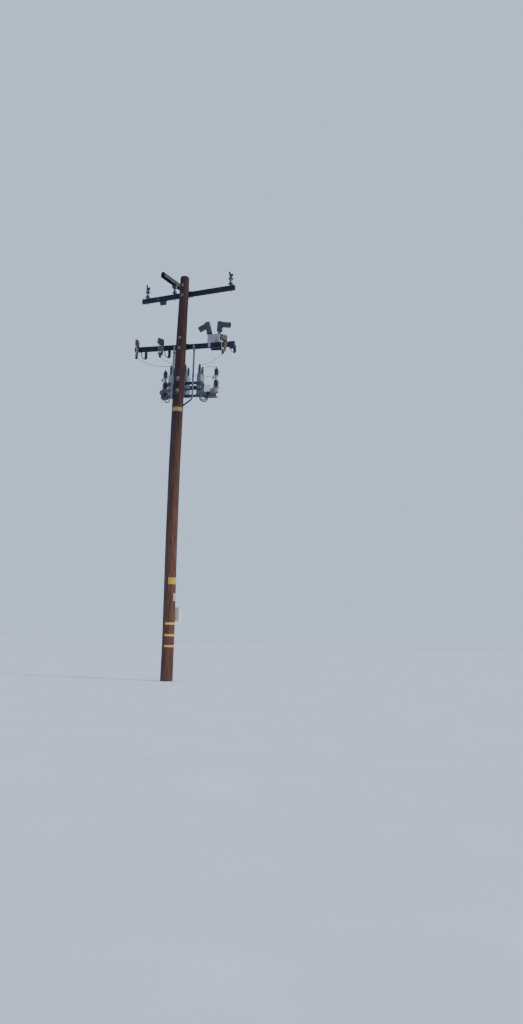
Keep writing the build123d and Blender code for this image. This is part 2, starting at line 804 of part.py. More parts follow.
# Surge arresters: two hung under the arm, the third behind the arm's right end
ARRESTER_LENGTH = 196
ARRESTER_CAP = 38
ARRESTER_STUD = 12
ARRESTER_BEHIND = 305
ARRESTER_HEADS = (
    (ARRESTER_X[0], ARM_OFFSET, ARM_UNDER - ARRESTER_STUD),
    (ARRESTER_X[1], ARM_OFFSET, ARM_UNDER - ARRESTER_STUD),
    (ARRESTER_X[2], ARRESTER_BEHIND, EQUIP_ARM_Z - 6),
)
LEAD_REACH = 150
LUG_RADIUS = 20
END_SLEEVE = (ARM_RIGHT - 144, ARM_RIGHT)
END_SLEEVE_LOW = ARM_UNDER - 52
with BuildPart() as arrester_brackets:
    for x, y, z in ARRESTER_HEADS[:2]:
        block((x - 24, y - 30, ARM_UNDER - 6), (x + 24, y + 30, ARM_UNDER))
        turned(((0, 0), (13, 0), (13, ARRESTER_STUD - 4), (0, ARRESTER_STUD - 4)), (x, y, z))
        turned(
            ((0, 0), (LUG_RADIUS, 0), (LUG_RADIUS, ARRESTER_STUD), (0, ARRESTER_STUD)),
            (x - LEAD_REACH, y, ARM_UNDER - ARRESTER_STUD),
        )
    # dark sleeve round the arm's right end, deeper than the arm
    block(
        (END_SLEEVE[0], ARM_FRONT - 6, END_SLEEVE_LOW),
        (END_SLEEVE[1] + 6, ARM_BACK + 6, ARM_TOP + 6),
    )
    block((END_SLEEVE[0] - 1, ARM_FRONT, ARM_UNDER), (END_SLEEVE[1], ARM_BACK, ARM_TOP), Mode.SUBTRACT)
    # shelf behind the sleeve, over the third arrester
    x, y, z = ARRESTER_HEADS[2]
    block((x - 20, ARM_BACK + 2, z + ARRESTER_STUD), (x + 20, y + 26, z + ARRESTER_STUD + 8))
    turned(((0, 0), (13, 0), (13, ARRESTER_STUD + 4), (0, ARRESTER_STUD + 4)), (x, y, z))
save(arrester_brackets, "arrester_brackets")

with BuildPart() as arresters:
    for x, y, z in ARRESTER_HEADS:
        turned(shed_profile(33, 48, ARRESTER_LENGTH, 5), (x, y, z - ARRESTER_LENGTH))
save(arresters, "arresters")

with BuildPart() as arrester_caps:
    for x, y, z in ARRESTER_HEADS:
        turned(
            ((0, -ARRESTER_CAP), (14, -ARRESTER_CAP), (22, -28), (22, -6), (28, 0), (0, 0)),
            (x, y, z - ARRESTER_LENGTH),
        )
save(arrester_caps, "arrester_caps")

# Leads that hang from the arm's underside and curve round to the arresters' feet
LEAD_RADII = (14, 14, 10)
LEAD_STEPS = 5
FOOT_IN = 10
FOOT_DROP = 24


def lead_route(start, foot, straight):
    """Straight down from start, then a quarter of an ellipse round to the foot."""
    points = [start]
    low = start[2] - straight
    for step in range(LEAD_STEPS + 1):
        turn = math.pi / 2 * step / LEAD_STEPS
        points.append(
            (
                start[0] + (foot[0] - start[0]) * (1 - math.cos(turn)),
                start[1] + (foot[1] - start[1]) * (1 - math.cos(turn)),
                low - (low - foot[2]) * math.sin(turn),
            )
        )
    return points


lead_ends = [
    ((x - LEAD_REACH, y, ARM_UNDER - ARRESTER_STUD), (x - FOOT_IN, y, z - ARRESTER_LENGTH - FOOT_DROP), 36)
    for x, y, z in ARRESTER_HEADS[:2]
]
x, y, z = ARRESTER_HEADS[2]
lead_ends.append(
    ((x - 98, ARM_BACK - 11, END_SLEEVE_LOW), (x - FOOT_IN, y - FOOT_IN, z - ARRESTER_LENGTH - FOOT_DROP), 16)
)
for number, (start, foot, straight) in enumerate(lead_ends, 1):
    with BuildPart() as arrester_lead:
        cable(lead_route(start, foot, straight), LEAD_RADII[number - 1], "arrester lead " + str(number))
    save(arrester_lead, "arrester_lead_" + str(number))

# Voltage transformer standing on the arm, its hanger plate welded in front
TANK_BASE = ARM_TOP
TANK_TOP = TANK_BASE + TANK_HEIGHT
TANK_LEFT = TANK_X - TANK_WIDTH / 2
TANK_RIGHT = TANK_X + TANK_WIDTH / 2
TANK_FRONT = ARM_FRONT
TANK_MIDDLE_Y = TANK_FRONT + TANK_DEPTH / 2
LID = 6
HANGER = (TANK_LEFT + 31, TANK_LEFT + 110)
with BuildPart() as transformer_tank:
    block((TANK_LEFT, TANK_FRONT, TANK_BASE), (TANK_RIGHT, TANK_FRONT + TANK_DEPTH, TANK_TOP - 12))
    fillet(transformer_tank.edges().filter_by(Axis.Z), 24)
    block(
        (TANK_LEFT - LID, TANK_FRONT - LID, TANK_TOP - 12),
        (TANK_RIGHT + LID, TANK_FRONT + TANK_DEPTH + LID, TANK_TOP),
    )
    block((HANGER[0], TANK_FRONT - 6, ARM_UNDER + 4), (HANGER[1], TANK_FRONT, TANK_BASE + 40))
save(transformer_tank, "transformer_tank")

with BuildPart() as terminal_box:
    block(
        (TANK_RIGHT - 118, TANK_FRONT - 30, TANK_BASE + 28),
        (TANK_RIGHT - 12, TANK_FRONT, TANK_TOP - 34),
    )
    fillet(terminal_box.edges().filter_by(Axis.Y), 8)
    for rise in (76, 150):
        rod(
            (TANK_RIGHT - 66, TANK_FRONT - 44, TANK_BASE + rise),
            (TANK_RIGHT - 66, TANK_FRONT - 28, TANK_BASE + rise),
            17,
        )
save(terminal_box, "terminal_box")

# dark channel under the arm that the transformer's long bolts clamp up
CHANNEL_DROP = 72
with BuildPart() as transformer_bracket:
    block((TANK_X - 72, ARM_FRONT, ARM_UNDER - CHANNEL_DROP), (TANK_X + 229, ARM_BACK, ARM_UNDER))
    block(
        (TANK_X - 73, ARM_FRONT + 8, ARM_UNDER - CHANNEL_DROP - 1),
        (TANK_X + 230, ARM_BACK - 8, ARM_UNDER - 8),
        Mode.SUBTRACT,
    )
    for x in (TANK_X - 40, TANK_X + 160):
        rod((x, ARM_BACK + 14, ARM_UNDER - 20), (x, ARM_BACK + 14, TANK_BASE), 8)
        block((x - 24, ARM_BACK - 8, ARM_UNDER - 34), (x + 24, ARM_BACK + 32, ARM_UNDER - 20))
save(transformer_bracket, "transformer_bracket")

# Transformer bushings and their elbow covers: foot on the lid, lean, limb's start, corner,
# limb's length, droop of the arm, its side and its length
BUSHINGS = (
    (TANK_X - 137, -14, 40, 336, 410, 28, -1, 290),
    (TANK_X + 139, 3, 118, 316, 392, 7, 1, 306),
)
COVER_SIDE = 143
ELBOW_SIDE = 139
COVER_EDGE = 26
BUSHING_CORE = 30
SOCKET = 90
MOUTH = 150
with BuildPart() as transformer_bushings:
    for x, tilt, start, _, _, _, _, _ in BUSHINGS:
        lean = (math.sin(math.radians(tilt)), 0, math.cos(math.radians(tilt)))
        turned(((0, 0), (46, 0), (46, 18), (0, 18)), (x, TANK_MIDDLE_Y, TANK_TOP))
        foot = Vector(x, TANK_MIDDLE_Y, TANK_TOP + 10)
        if start > 60:
            turned(shed_profile(38, 57, start - 14, 2), tuple(foot), lean)
        turned(
            ((0, 0), (BUSHING_CORE, 0), (BUSHING_CORE, start + SOCKET), (0, start + SOCKET)),
            tuple(foot),
            lean,
        )
save(transformer_bushings, "transformer_bushings")

def square_bar(centre, along, side, edge, length, mode=Mode.ADD):
    """Bar of rounded square section from a point along a direction in the XZ plane."""
    with BuildSketch(Plane(origin=tuple(centre), x_dir=(0, 1, 0), z_dir=tuple(along))) as section:
        RectangleRounded(side, side, edge)
    extrude(section.sketch, amount=length, mode=mode)


elbows = []
for x, tilt, start, corner, length, droop, side, reach in BUSHINGS:
    lean = Vector(math.sin(math.radians(tilt)), 0, math.cos(math.radians(tilt)))
    base = Vector(x, TANK_MIDDLE_Y, TANK_TOP + 10)
    run = Vector(side * math.cos(math.radians(droop)), 0, -math.sin(math.radians(droop)))
    bend = base + lean * corner
    with BuildPart() as elbow:
        square_bar(base + lean * start, lean, COVER_SIDE, COVER_EDGE, length - start)
        square_bar(bend, run, ELBOW_SIDE, COVER_EDGE, reach)
        # flared rims at both mouths
        square_bar(base + lean * (start - 1), lean, COVER_SIDE + 12, COVER_EDGE + 6, 14)
        square_bar(bend + run * (reach - 13), run, ELBOW_SIDE + 12, COVER_EDGE + 6, 14)
        # socket over the bushing, and the hollow mouth at the arm's end
        rod(
            tuple(base + lean * (start - 10)),
            tuple(base + lean * (start + SOCKET)),
            BUSHING_CORE + 24,
            Mode.SUBTRACT,
        )
        square_bar(
            bend + run * (reach - MOUTH), run, COVER_SIDE - 14, COVER_EDGE - 6, MOUTH + 5, Mode.SUBTRACT
        )
    elbows.append(elbow.part)
with BuildPart() as bushing_covers:
    for elbow in elbows:
        add(elbow)
save(bushing_covers, "bushing_covers")

# Conduit from the arm down to the cabinet, and a shorter riser on the other side
CONDUIT_RADIUS = 28
CONDUIT_X = 308
CONDUIT_BACK = (-40, 206)
CONDUIT_BEND = 140
RISER_RADIUS = 28
RISER_TOP = (-206, -52, 9430)
RISER_FOOT = (-226, -62, 7870)
conduit_route = (
    (CONDUIT_X, ARM_OFFSET, ARM_UNDER),
    (CONDUIT_X, ARM_OFFSET, 7935),
    (CONDUIT_BACK[0], CONDUIT_BACK[1], 7690),
    (CONDUIT_BACK[0], CONDUIT_BACK[1], 2500),
    (CONDUIT_BACK[0], CONDUIT_BACK[1] + 72, 2260),
    (CONDUIT_BACK[0], CONDUIT_BACK[1] + 72, CABINET_Z[1] + CABINET_ROOF),
)
with BuildPart() as conduits:
    with BuildLine() as run:
        FilletPolyline(*conduit_route, radius=CONDUIT_BEND)
    with BuildSketch(Plane(origin=conduit_route[0], z_dir=(0, 0, -1))) as pipe:
        Circle(CONDUIT_RADIUS)
    sweep(pipe.sketch, path=run.wires()[0])
    for height in (8600, 6600, 3600):
        x, y = (CONDUIT_X, ARM_OFFSET) if height > 8000 else CONDUIT_BACK
        turned(((0, 0), (CONDUIT_RADIUS + 5, 0), (CONDUIT_RADIUS + 5, 70), (0, 70)), (x, y, height))
    rod(RISER_FOOT, RISER_TOP, RISER_RADIUS)
save(conduits, "conduits")

CLIP_HALF = 14
with BuildPart() as pipe_clips:
    for height in (8150, 8700, 9250):
        share = (height - RISER_FOOT[2]) / (RISER_TOP[2] - RISER_FOOT[2])
        x, y, _ = (a + share * (b - a) for a, b in zip(RISER_FOOT, RISER_TOP))
        block(
            (x - RISER_RADIUS - 6, y - RISER_RADIUS - 6, height - CLIP_HALF),
            (x + 70, y + RISER_RADIUS + 6, height + CLIP_HALF),
        )
        rod((x, y, height - 40), (x, y, height + 40), RISER_RADIUS + 1.2, Mode.SUBTRACT)
    trunk_clear(7700, 9480)
    for height in (7250, 5900, 4500, 3000):
        x, y = CONDUIT_BACK
        block(
            (x - CONDUIT_RADIUS - 6, 110, height - CLIP_HALF),
            (x + CONDUIT_RADIUS + 6, y + CONDUIT_RADIUS + 5, height + CLIP_HALF),
        )
        rod((x, y, height - 20), (x, y, height + 20), CONDUIT_RADIUS + SEAT, Mode.SUBTRACT)
        trunk_clear(height - 40, height + 40)
    # pale strap down the arm's face to the conduit's head
    block(
        (CONDUIT_X - 32, ARM_FRONT - 6, ARM_UNDER - 54),
        (CONDUIT_X + 32, ARM_FRONT, ARM_TOP - 26),
    )
    block((CONDUIT_X - 32, ARM_FRONT, ARM_UNDER - 54), (CONDUIT_X + 32, ARM_OFFSET, ARM_UNDER))
    rod(
        (CONDUIT_X, ARM_OFFSET, ARM_UNDER - 60),
        (CONDUIT_X, ARM_OFFSET, ARM_UNDER),
        CONDUIT_RADIUS + SEAT,
        Mode.SUBTRACT,
    )
save(pipe_clips, "pipe_clips")

# Rack: three channels in front and one behind, closed by end rails at the top
FLANGE = 20
LIP = 5
RAIL_TOP = TOP_RAIL_Z + TOP_RAIL_HEIGHT / 2
FOOT_TOP = FOOT_RAIL_Z + FOOT_RAIL_HEIGHT / 2
FOOT_LOW = FOOT_RAIL_Z - FOOT_RAIL_HEIGHT / 2
FOOT_LEFT = RACK_LEFT - 110
SWITCH_Y = (RACK_FRONT + RACK_BACK) / 2
RAILS = (
    (RACK_LEFT, RACK_RIGHT, RACK_FRONT, 1, TOP_RAIL_Z, TOP_RAIL_HEIGHT),
    (RACK_LEFT, RACK_RIGHT, RACK_BACK, -1, TOP_RAIL_Z, TOP_RAIL_HEIGHT),
    (RACK_LEFT, RACK_RIGHT + 46, RACK_FRONT, 1, MIDDLE_RAIL_Z, MIDDLE_RAIL_HEIGHT),
    (FOOT_LEFT, RACK_RIGHT - 15, RACK_FRONT, 1, FOOT_RAIL_Z, FOOT_RAIL_HEIGHT),
)
with BuildPart() as rack_rails:
    for left, right, y, inward, z, tall in RAILS:
        web = sorted((y, y + inward * RAIL_THICK))
        lip = sorted((y, y + inward * FLANGE))
        block((left, web[0], z - tall / 2), (right, web[1], z + tall / 2))
        for edge in (z - tall / 2, z + tall / 2 - LIP):
            block((left, lip[0], edge), (right, lip[1], edge + LIP))
save(rack_rails, "rack_rails")

# End rails, uprights between them and the switches' arms, and a tie to the foot rail
UPRIGHT = 60
ARM_Z = (8040, 8190)
with BuildPart() as rack_ends:
    for x, side in ((RACK_LEFT, -1), (RACK_RIGHT, 1)):
        near, far = sorted((x, x + side * RAIL_THICK))
        block((near, RACK_FRONT, TOP_RAIL_Z - 44), (far, RACK_BACK, RAIL_TOP))
        block((near, SWITCH_Y - UPRIGHT / 2, ARM_Z[0]), (far, SWITCH_Y + UPRIGHT / 2, RAIL_TOP))
        tie = sorted((x - side * 30, x + side * RAIL_THICK))
        block((tie[0], RACK_FRONT + FLANGE, FOOT_TOP - 26), (tie[1], SWITCH_Y + UPRIGHT / 2, FOOT_TOP - 20))
        block((tie[0], RACK_FRONT + RAIL_THICK, FOOT_TOP - 26), (tie[1], RACK_FRONT + FLANGE, FOOT_TOP - 20))
save(rack_ends, "rack_ends")

RACK_MOUNT_HALF = 75
RACK_MOUNT_Z = (7985, 8540)
RACK_PLATE = 12
with BuildPart() as rack_bracket:
    x = RACK_BOLTS[0][0]
    block(
        (x - RACK_MOUNT_HALF, RACK_PLATE_BACK - RACK_PLATE, RACK_MOUNT_Z[0]),
        (x + RACK_MOUNT_HALF, RACK_PLATE_BACK, RACK_MOUNT_Z[1]),
    )
    for side in (-RACK_MOUNT_HALF, RACK_MOUNT_HALF - 6):
        block(
            (x + side, RACK_PLATE_BACK - RACK_PLATE, RACK_MOUNT_Z[0]),
            (x + side + 6, RACK_FRONT, RACK_MOUNT_Z[1]),
        )
    for _, height in RACK_BOLTS:
        block((x - 60, 90, height - 45), (x + 60, RACK_PLATE_BACK - RACK_PLATE, height + 45))
    trunk_clear(7700, 8900)
    for bolt_x, height in RACK_BOLTS:
        rod((bolt_x, 60, height), (bolt_x, 260, height), BOLT_RADIUS + BOLT_PLAY, Mode.SUBTRACT)
save(rack_bracket, "rack_bracket")

# Capacitors: seamed tanks hung in the rack by ears, each with two bushings
EAR = 8
with BuildPart() as one_tank:
    block(
        (-CAPACITOR_WIDTH / 2, CAPACITOR_FRONT, CAPACITOR_TOP - CAPACITOR_HEIGHT),
        (CAPACITOR_WIDTH / 2, CAPACITOR_FRONT + CAPACITOR_DEPTH, CAPACITOR_TOP),
    )
    fillet(one_tank.edges().filter_by(Axis.Z), 16)
    for low in (CAPACITOR_TOP - 16, CAPACITOR_TOP - CAPACITOR_HEIGHT):
        with BuildSketch(Plane.XY.offset(low)) as seam:
            with Locations((0, CAPACITOR_FRONT + CAPACITOR_DEPTH / 2)):
                RectangleRounded(CAPACITOR_WIDTH + 6, CAPACITOR_DEPTH + 6, 19)
        extrude(seam.sketch, amount=10)
    block((-44, RACK_FRONT, RAIL_TOP), (44, CAPACITOR_FRONT + 1, RAIL_TOP + EAR))
    block((-44, CAPACITOR_FRONT + CAPACITOR_DEPTH - 1, RAIL_TOP), (44, RACK_BACK, RAIL_TOP + EAR))
    # gussets under the ears
    for side in (-38, 30):
        block(
            (side, CAPACITOR_FRONT - 8, RAIL_TOP + EAR),
            (side + 8, CAPACITOR_FRONT + 1, RAIL_TOP + EAR + 60),
        )
        block(
            (side, CAPACITOR_FRONT + CAPACITOR_DEPTH - 1, RAIL_TOP + EAR),
            (side + 8, CAPACITOR_FRONT + CAPACITOR_DEPTH + 8, RAIL_TOP + EAR + 60),
        )
with BuildPart() as capacitor_tanks:
    with Locations(*[(x, 0, 0) for x in CAPACITOR_X]):
        add(one_tank.part)
save(capacitor_tanks, "capacitor_tanks")

CAPACITOR_BUSHING = 262
with BuildPart() as capacitor_bushings:
    for x in CAPACITOR_X:
        for y in CAPACITOR_BUSHING_Y:
            turned(shed_profile(32, 50, CAPACITOR_BUSHING, 5), (x, y, CAPACITOR_TOP))
save(capacitor_bushings, "capacitor_bushings")

STUD_Y = CAPACITOR_BUSHING_Y[1] - 84
STUD_TALL = 30
with BuildPart() as capacitor_caps:
    for x in CAPACITOR_X:
        for y in CAPACITOR_BUSHING_Y:
            turned(
                ((0, 0), (30, 0), (30, 16), (17, 34), (0, 36)),
                (x, y, CAPACITOR_TOP + CAPACITOR_BUSHING),
            )
        turned(((0, 0), (12, 0), (12, STUD_TALL), (0, STUD_TALL)), (x + 44, STUD_Y, CAPACITOR_TOP))
save(capacitor_caps, "capacitor_caps")

# Switches beyond both ends of the rack, each on a channel arm
CHANNEL_WEB = 8
SWITCH_HALF = 90
SWITCH_ARMS = ((SWITCH_X[0] - 76, RACK_LEFT - RAIL_THICK), (RACK_RIGHT + RAIL_THICK, SWITCH_X[1] + 48))
with BuildPart() as switch_arms:
    for left, right in SWITCH_ARMS:
        block((left, SWITCH_Y - SWITCH_HALF, ARM_Z[0]), (right, SWITCH_Y + SWITCH_HALF, ARM_Z[1]))
        block(
            (left - 1, SWITCH_Y - SWITCH_HALF + CHANNEL_WEB, ARM_Z[0] + 8),
            (right + 1, SWITCH_Y + SWITCH_HALF + 1, ARM_Z[1] - 8),
            Mode.SUBTRACT,
        )
        for edge in (ARM_Z[0], ARM_Z[1] - 22):
            block(
                (left, SWITCH_Y - SWITCH_HALF - 8, edge),
                (right, SWITCH_Y - SWITCH_HALF, edge + 22),
            )
save(switch_arms, "switch_arms")

MECHANISM_TOP = 8356
DRUM_SHIFT = -24
DRUM_RADIUS = 88
DRUM_Z = 8206
with BuildPart() as switch_mechanisms:
    for x in SWITCH_X:
        block((x - 66, SWITCH_Y - 66, ARM_Z[1]), (x + 66, SWITCH_Y + 66, MECHANISM_TOP - 40))
        turned(
            ((0, 0), (84, 0), (84, 14), (58, 26), (50, 40), (0, 40)),
            (x, SWITCH_Y, MECHANISM_TOP - 40),
        )
        turned(
            ((0, 0), (DRUM_RADIUS, 0), (DRUM_RADIUS, 44), (DRUM_RADIUS - 14, 60), (30, 66), (0, 66)),
            (x + DRUM_SHIFT, SWITCH_Y - SWITCH_HALF - 8, DRUM_Z),
            (0, -1, 0),
        )
save(switch_mechanisms, "switch_mechanisms")

POST_TALL = 182
NECK_LOW = MECHANISM_TOP + POST_TALL
NECK_TALL = 150
CAP_FOOT = NECK_LOW + NECK_TALL
with BuildPart() as switch_insulators:
    for x in SWITCH_X:
        turned(shed_profile(50, 86, POST_TALL, 4), (x, SWITCH_Y, MECHANISM_TOP))
        turned(shed_profile(48, 74, 196, 4), (x, SWITCH_Y, CAP_FOOT))
        turned(
            ((0, 0), (42, 0), (36, 22), (15, 36), (12, 78), (0, 80)),
            (x, SWITCH_Y, CAP_FOOT + 196),
        )
save(switch_insulators, "switch_insulators")

TERMINAL_Z = NECK_LOW + 138
TERMINAL_REACH = 92
with BuildPart() as switch_terminals:
    for x in SWITCH_X:
        turned(
            (
                (0, 0),
                (56, 0),
                (56, 18),
                (42, 28),
                (42, NECK_TALL - 28),
                (56, NECK_TALL - 18),
                (56, NECK_TALL),
                (0, NECK_TALL),
            ),
            (x, SWITCH_Y, NECK_LOW),
        )
        rod((x, SWITCH_Y, TERMINAL_Z - 46), (x - TERMINAL_REACH, SWITCH_Y, TERMINAL_Z - 46), 15)
        block(
            (x - TERMINAL_REACH - 22, SWITCH_Y - 12, TERMINAL_Z - 96),
            (x - TERMINAL_REACH + 22, SWITCH_Y + 12, TERMINAL_Z),
        )
save(switch_terminals, "switch_terminals")

# Junction box in front of the right switch's arm
BOX_X = (634, 806)
BOX_FRONT = 286
BOX_Z = (8174, 8358)
GLANDS = ((740, 8), (704, 24))
with BuildPart() as junction_box:
    block((BOX_X[0], BOX_FRONT, BOX_Z[0]), (BOX_X[1], SWITCH_Y - SWITCH_HALF - 8, BOX_Z[1]))
    fillet(junction_box.edges().filter_by(Axis.Y), 10)
    block((BOX_X[0] - 5, BOX_FRONT - 8, BOX_Z[0] - 5), (BOX_X[1] + 5, BOX_FRONT, BOX_Z[1] + 5))
    for x, inward in GLANDS:
        turned(((0, 0), (15, 0), (15, 22), (0, 22)), (x, BOX_FRONT + inward + 16, BOX_Z[0] - 20))
save(junction_box, "junction_box")

# Jumpers from the cutouts' lower terminals to the capacitors
JUMPER_RADIUS = 6
CAP_Z = CAPACITOR_TOP + CAPACITOR_BUSHING + 18
for number, (place, bx) in enumerate(zip(CUTOUT_PLACES, CAPACITOR_X), 1):
    start = (place * Location((0, -BALL_OUT, -BALL_DROP - 10))).position
    with BuildPart() as jumper:
        cable(
            hanging(tuple(start), (bx, CAPACITOR_BUSHING_Y[0], CAP_Z), 95, 9),
            JUMPER_RADIUS,
            "jumper " + str(number),
        )
    save(jumper, "jumper_" + str(number))

# Jumpers from the last capacitor to its switch: over the top, and from the tank to the terminal
with BuildPart() as switch_jumper:
    cable(
        hanging(
            (CAPACITOR_X[2], CAPACITOR_BUSHING_Y[1], CAP_Z),
            (SWITCH_X[1], SWITCH_Y, CAP_FOOT + 240),
            -30,
            5,
        ),
        JUMPER_RADIUS,
        "switch jumper 1",
    )
save(switch_jumper, "switch_jumper_1")

with BuildPart() as switch_jumper:
    cable(
        hanging(
            (CAPACITOR_X[2] + 44, STUD_Y, CAPACITOR_TOP + 22),
            (SWITCH_X[1] - TERMINAL_REACH - 6, SWITCH_Y, TERMINAL_Z - 30),
            20,
            5,
        ),
        JUMPER_RADIUS,
        "switch jumper 2",
    )
save(switch_jumper, "switch_jumper_2")

# Control cables: two loops from the junction box back to the foot rail, one at the left
# end of the rail, and a short tail under the left switch
CONTROL_RADIUS = 9
gland_y = [BOX_FRONT + inward + 16 for _, inward in GLANDS]
control_routes = (
    (
        (GLANDS[0][0], gland_y[0], BOX_Z[0] - 20),
        (GLANDS[0][0] + 4, gland_y[0] - 2, 8080),
        (GLANDS[0][0] + 8, gland_y[0] - 8, 8000),
        (GLANDS[0][0] + 4, gland_y[0] - 16, 7930),
        (GLANDS[0][0] - 26, gland_y[0] - 22, 7878),
        (GLANDS[0][0] - 80, gland_y[0] - 26, 7858),
        (GLANDS[0][0] - 140, gland_y[0] - 28, 7874),
        (GLANDS[0][0] - 196, gland_y[0] - 30, 7910),
        (GLANDS[0][0] - 236, gland_y[0] - 32, 7954),
        (GLANDS[0][0] - 240, gland_y[0] - 33, FOOT_LOW),
    ),
    (
        (GLANDS[1][0], gland_y[1], BOX_Z[0] - 20),
        (GLANDS[1][0] + 3, gland_y[1] - 2, 8082),
        (GLANDS[1][0] + 6, gland_y[1] - 10, 8012),
        (GLANDS[1][0] - 2, gland_y[1] - 20, 7954),
        (GLANDS[1][0] - 34, gland_y[1] - 28, 7916),
        (GLANDS[1][0] - 82, gland_y[1] - 34, 7910),
        (GLANDS[1][0] - 130, gland_y[1] - 40, 7934),
        (GLANDS[1][0] - 164, gland_y[1] - 48, 7966),
        (GLANDS[1][0] - 172, gland_y[1] - 52, FOOT_LOW),
    ),
    (
        (-556, RACK_FRONT + 10, FOOT_LOW),
        (-554, RACK_FRONT + 10, 7965),
        (-545, RACK_FRONT + 9, 7912),
        (-518, RACK_FRONT + 8, 7885),
        (-480, RACK_FRONT + 8, 7875),
        (-442, RACK_FRONT + 8, 7885),
        (-415, RACK_FRONT + 9, 7912),
        (-406, RACK_FRONT + 10, 7965),
        (-404, RACK_FRONT + 10, FOOT_LOW),
    ),
    (
        (SWITCH_X[0] - 44, SWITCH_Y - 60, ARM_Z[0]),
        (SWITCH_X[0] - 45, SWITCH_Y - 62, 7996),
        (SWITCH_X[0] - 42, SWITCH_Y - 66, 7944),
        (SWITCH_X[0] - 43, SWITCH_Y - 68, 7890),
    ),
)
for number, route in enumerate(control_routes, 1):
    with BuildPart() as control_cable:
        cable(route, CONTROL_RADIUS, "control cable " + str(number))
    save(control_cable, "control_cable_" + str(number))
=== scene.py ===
import json
import math

import bmesh
import bpy
from mathutils import Matrix, Vector

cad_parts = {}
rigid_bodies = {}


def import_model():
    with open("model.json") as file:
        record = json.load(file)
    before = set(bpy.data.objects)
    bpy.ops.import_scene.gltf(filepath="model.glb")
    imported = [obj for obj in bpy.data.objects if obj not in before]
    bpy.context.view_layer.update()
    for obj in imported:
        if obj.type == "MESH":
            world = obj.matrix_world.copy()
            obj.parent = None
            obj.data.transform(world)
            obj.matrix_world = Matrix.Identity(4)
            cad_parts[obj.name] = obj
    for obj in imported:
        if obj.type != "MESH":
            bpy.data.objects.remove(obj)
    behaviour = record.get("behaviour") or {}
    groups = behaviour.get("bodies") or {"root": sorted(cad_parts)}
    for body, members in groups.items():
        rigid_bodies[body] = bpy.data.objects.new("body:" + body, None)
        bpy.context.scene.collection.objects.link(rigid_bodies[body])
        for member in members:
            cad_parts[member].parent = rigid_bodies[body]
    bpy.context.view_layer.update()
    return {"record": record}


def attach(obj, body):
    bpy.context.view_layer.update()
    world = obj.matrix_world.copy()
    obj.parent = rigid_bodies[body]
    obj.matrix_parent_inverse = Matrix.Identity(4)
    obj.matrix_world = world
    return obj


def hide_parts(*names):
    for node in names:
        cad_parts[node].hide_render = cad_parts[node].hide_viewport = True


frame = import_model()
scene = bpy.context.scene

# The photograph's camera, from a fit to the trunk, both arms and the ground line
FOCAL = 769.0  # pixels of a photograph 1024 pixels high
PHOTO_HEIGHT = 1024
SENSOR = 36.0
FAR_END = 200
AZIMUTH, DISTANCE, HEIGHT = math.radians(20.4206), 21.3373, 1.3618
HEADING, PITCH, ROLL = math.radians(-13.868), math.radians(8.9103), math.radians(1.6521)


def add_camera():
    data = bpy.data.cameras.new("camera")
    data.lens = FOCAL * SENSOR / PHOTO_HEIGHT
    data.clip_end = FAR_END
    camera = bpy.data.objects.new("camera", data)
    scene.collection.objects.link(camera)
    level = math.cos(PITCH)
    look = Vector((math.sin(HEADING) * level, math.cos(HEADING) * level, math.sin(PITCH)))
    side = Vector((math.cos(HEADING), -math.sin(HEADING), 0))
    rise = side.cross(look)
    right = math.cos(ROLL) * side + math.sin(ROLL) * rise
    up = -math.sin(ROLL) * side + math.cos(ROLL) * rise
    turn = Matrix((right, up, -look)).transposed().to_4x4()
    spot = Vector((DISTANCE * math.sin(AZIMUTH), -DISTANCE * math.cos(AZIMUTH), HEIGHT))
    camera.matrix_world = Matrix.Translation(spot) @ turn
    scene.camera = camera


add_camera()


# The CAD's places, in metres
STATIONS = ((0, 0.170, 0), (1.09, 0.166, 0), (3.83, 0.164, -0.042), (5.8, 0.162, -0.056),
            (7.6, 0.161, -0.046), (9.5, 0.150, -0.026), (10.8, 0.136, -0.012), (11.545, 0.131, -0.005))
ARM_HALF, ARM_DEEP, ARM_OUT, ARM_LONG = 0.070, 0.092, 0.205, 3.048
ARM_FRONT, ARM_BACK = ARM_OUT - ARM_DEEP / 2, ARM_OUT + ARM_DEEP / 2
EQUIP_Z, EQUIP_X, LINE_Z, YAW = 9.510, -0.007, 11.118, math.radians(8.8)
ARM_LEFT, ARM_RIGHT = EQUIP_X - ARM_LONG / 2, EQUIP_X + ARM_LONG / 2
CUTOUTS = ((ARM_LEFT + 0.094, 15), (-0.631, -12), (ARM_RIGHT - 0.220, -22))
HEAD_Z = EQUIP_Z - ARM_HALF - 0.012
HEADS = ((ARM_LEFT + 0.350, ARM_OUT, HEAD_Z), (-0.450, ARM_OUT, HEAD_Z),
         (ARM_RIGHT - 0.017, 0.305, EQUIP_Z - 0.006))
HINGE_OUT, HINGE_LOW, BALL_OUT, BALL_LOW = 0.216, -0.258, 0.158, -0.326
TUBE_LEAN = math.radians(4)
ARRESTER = 0.196
TANKS, TANK_TOP, TANK_Y = (-0.420, 0.020, 0.452), 8.715, (0.332, 0.592)
CAP_Z = TANK_TOP + 0.262
CAP_WIRE, CAP_NUT = CAP_Z + 0.018, CAP_Z + 0.034
TANK_DEEP = 0.343
RACK = (-0.525, 0.555, 0.262, 0.662)
TOP_RAIL, MIDDLE_RAIL, FOOT_RAIL, RAIL_BOLT = 8.430, 8.240, 8.043, 0.022
SWITCHES, SWITCH_Y, NECK = (-0.640, 0.928), 0.462, 8.538
TRANSFORMER = (ARM_RIGHT - 0.628, ARM_FRONT, EQUIP_Z + ARM_HALF, 0.368, 0.220, 0.249)
GLANDS = ((0.740, 0.310), (0.704, 0.326))
BOX_LOW, FOOT_LOW = 8.154, 8.003
STRIPS, STRIP_NAIL = (0.932, 1.222, 1.534), 0.022
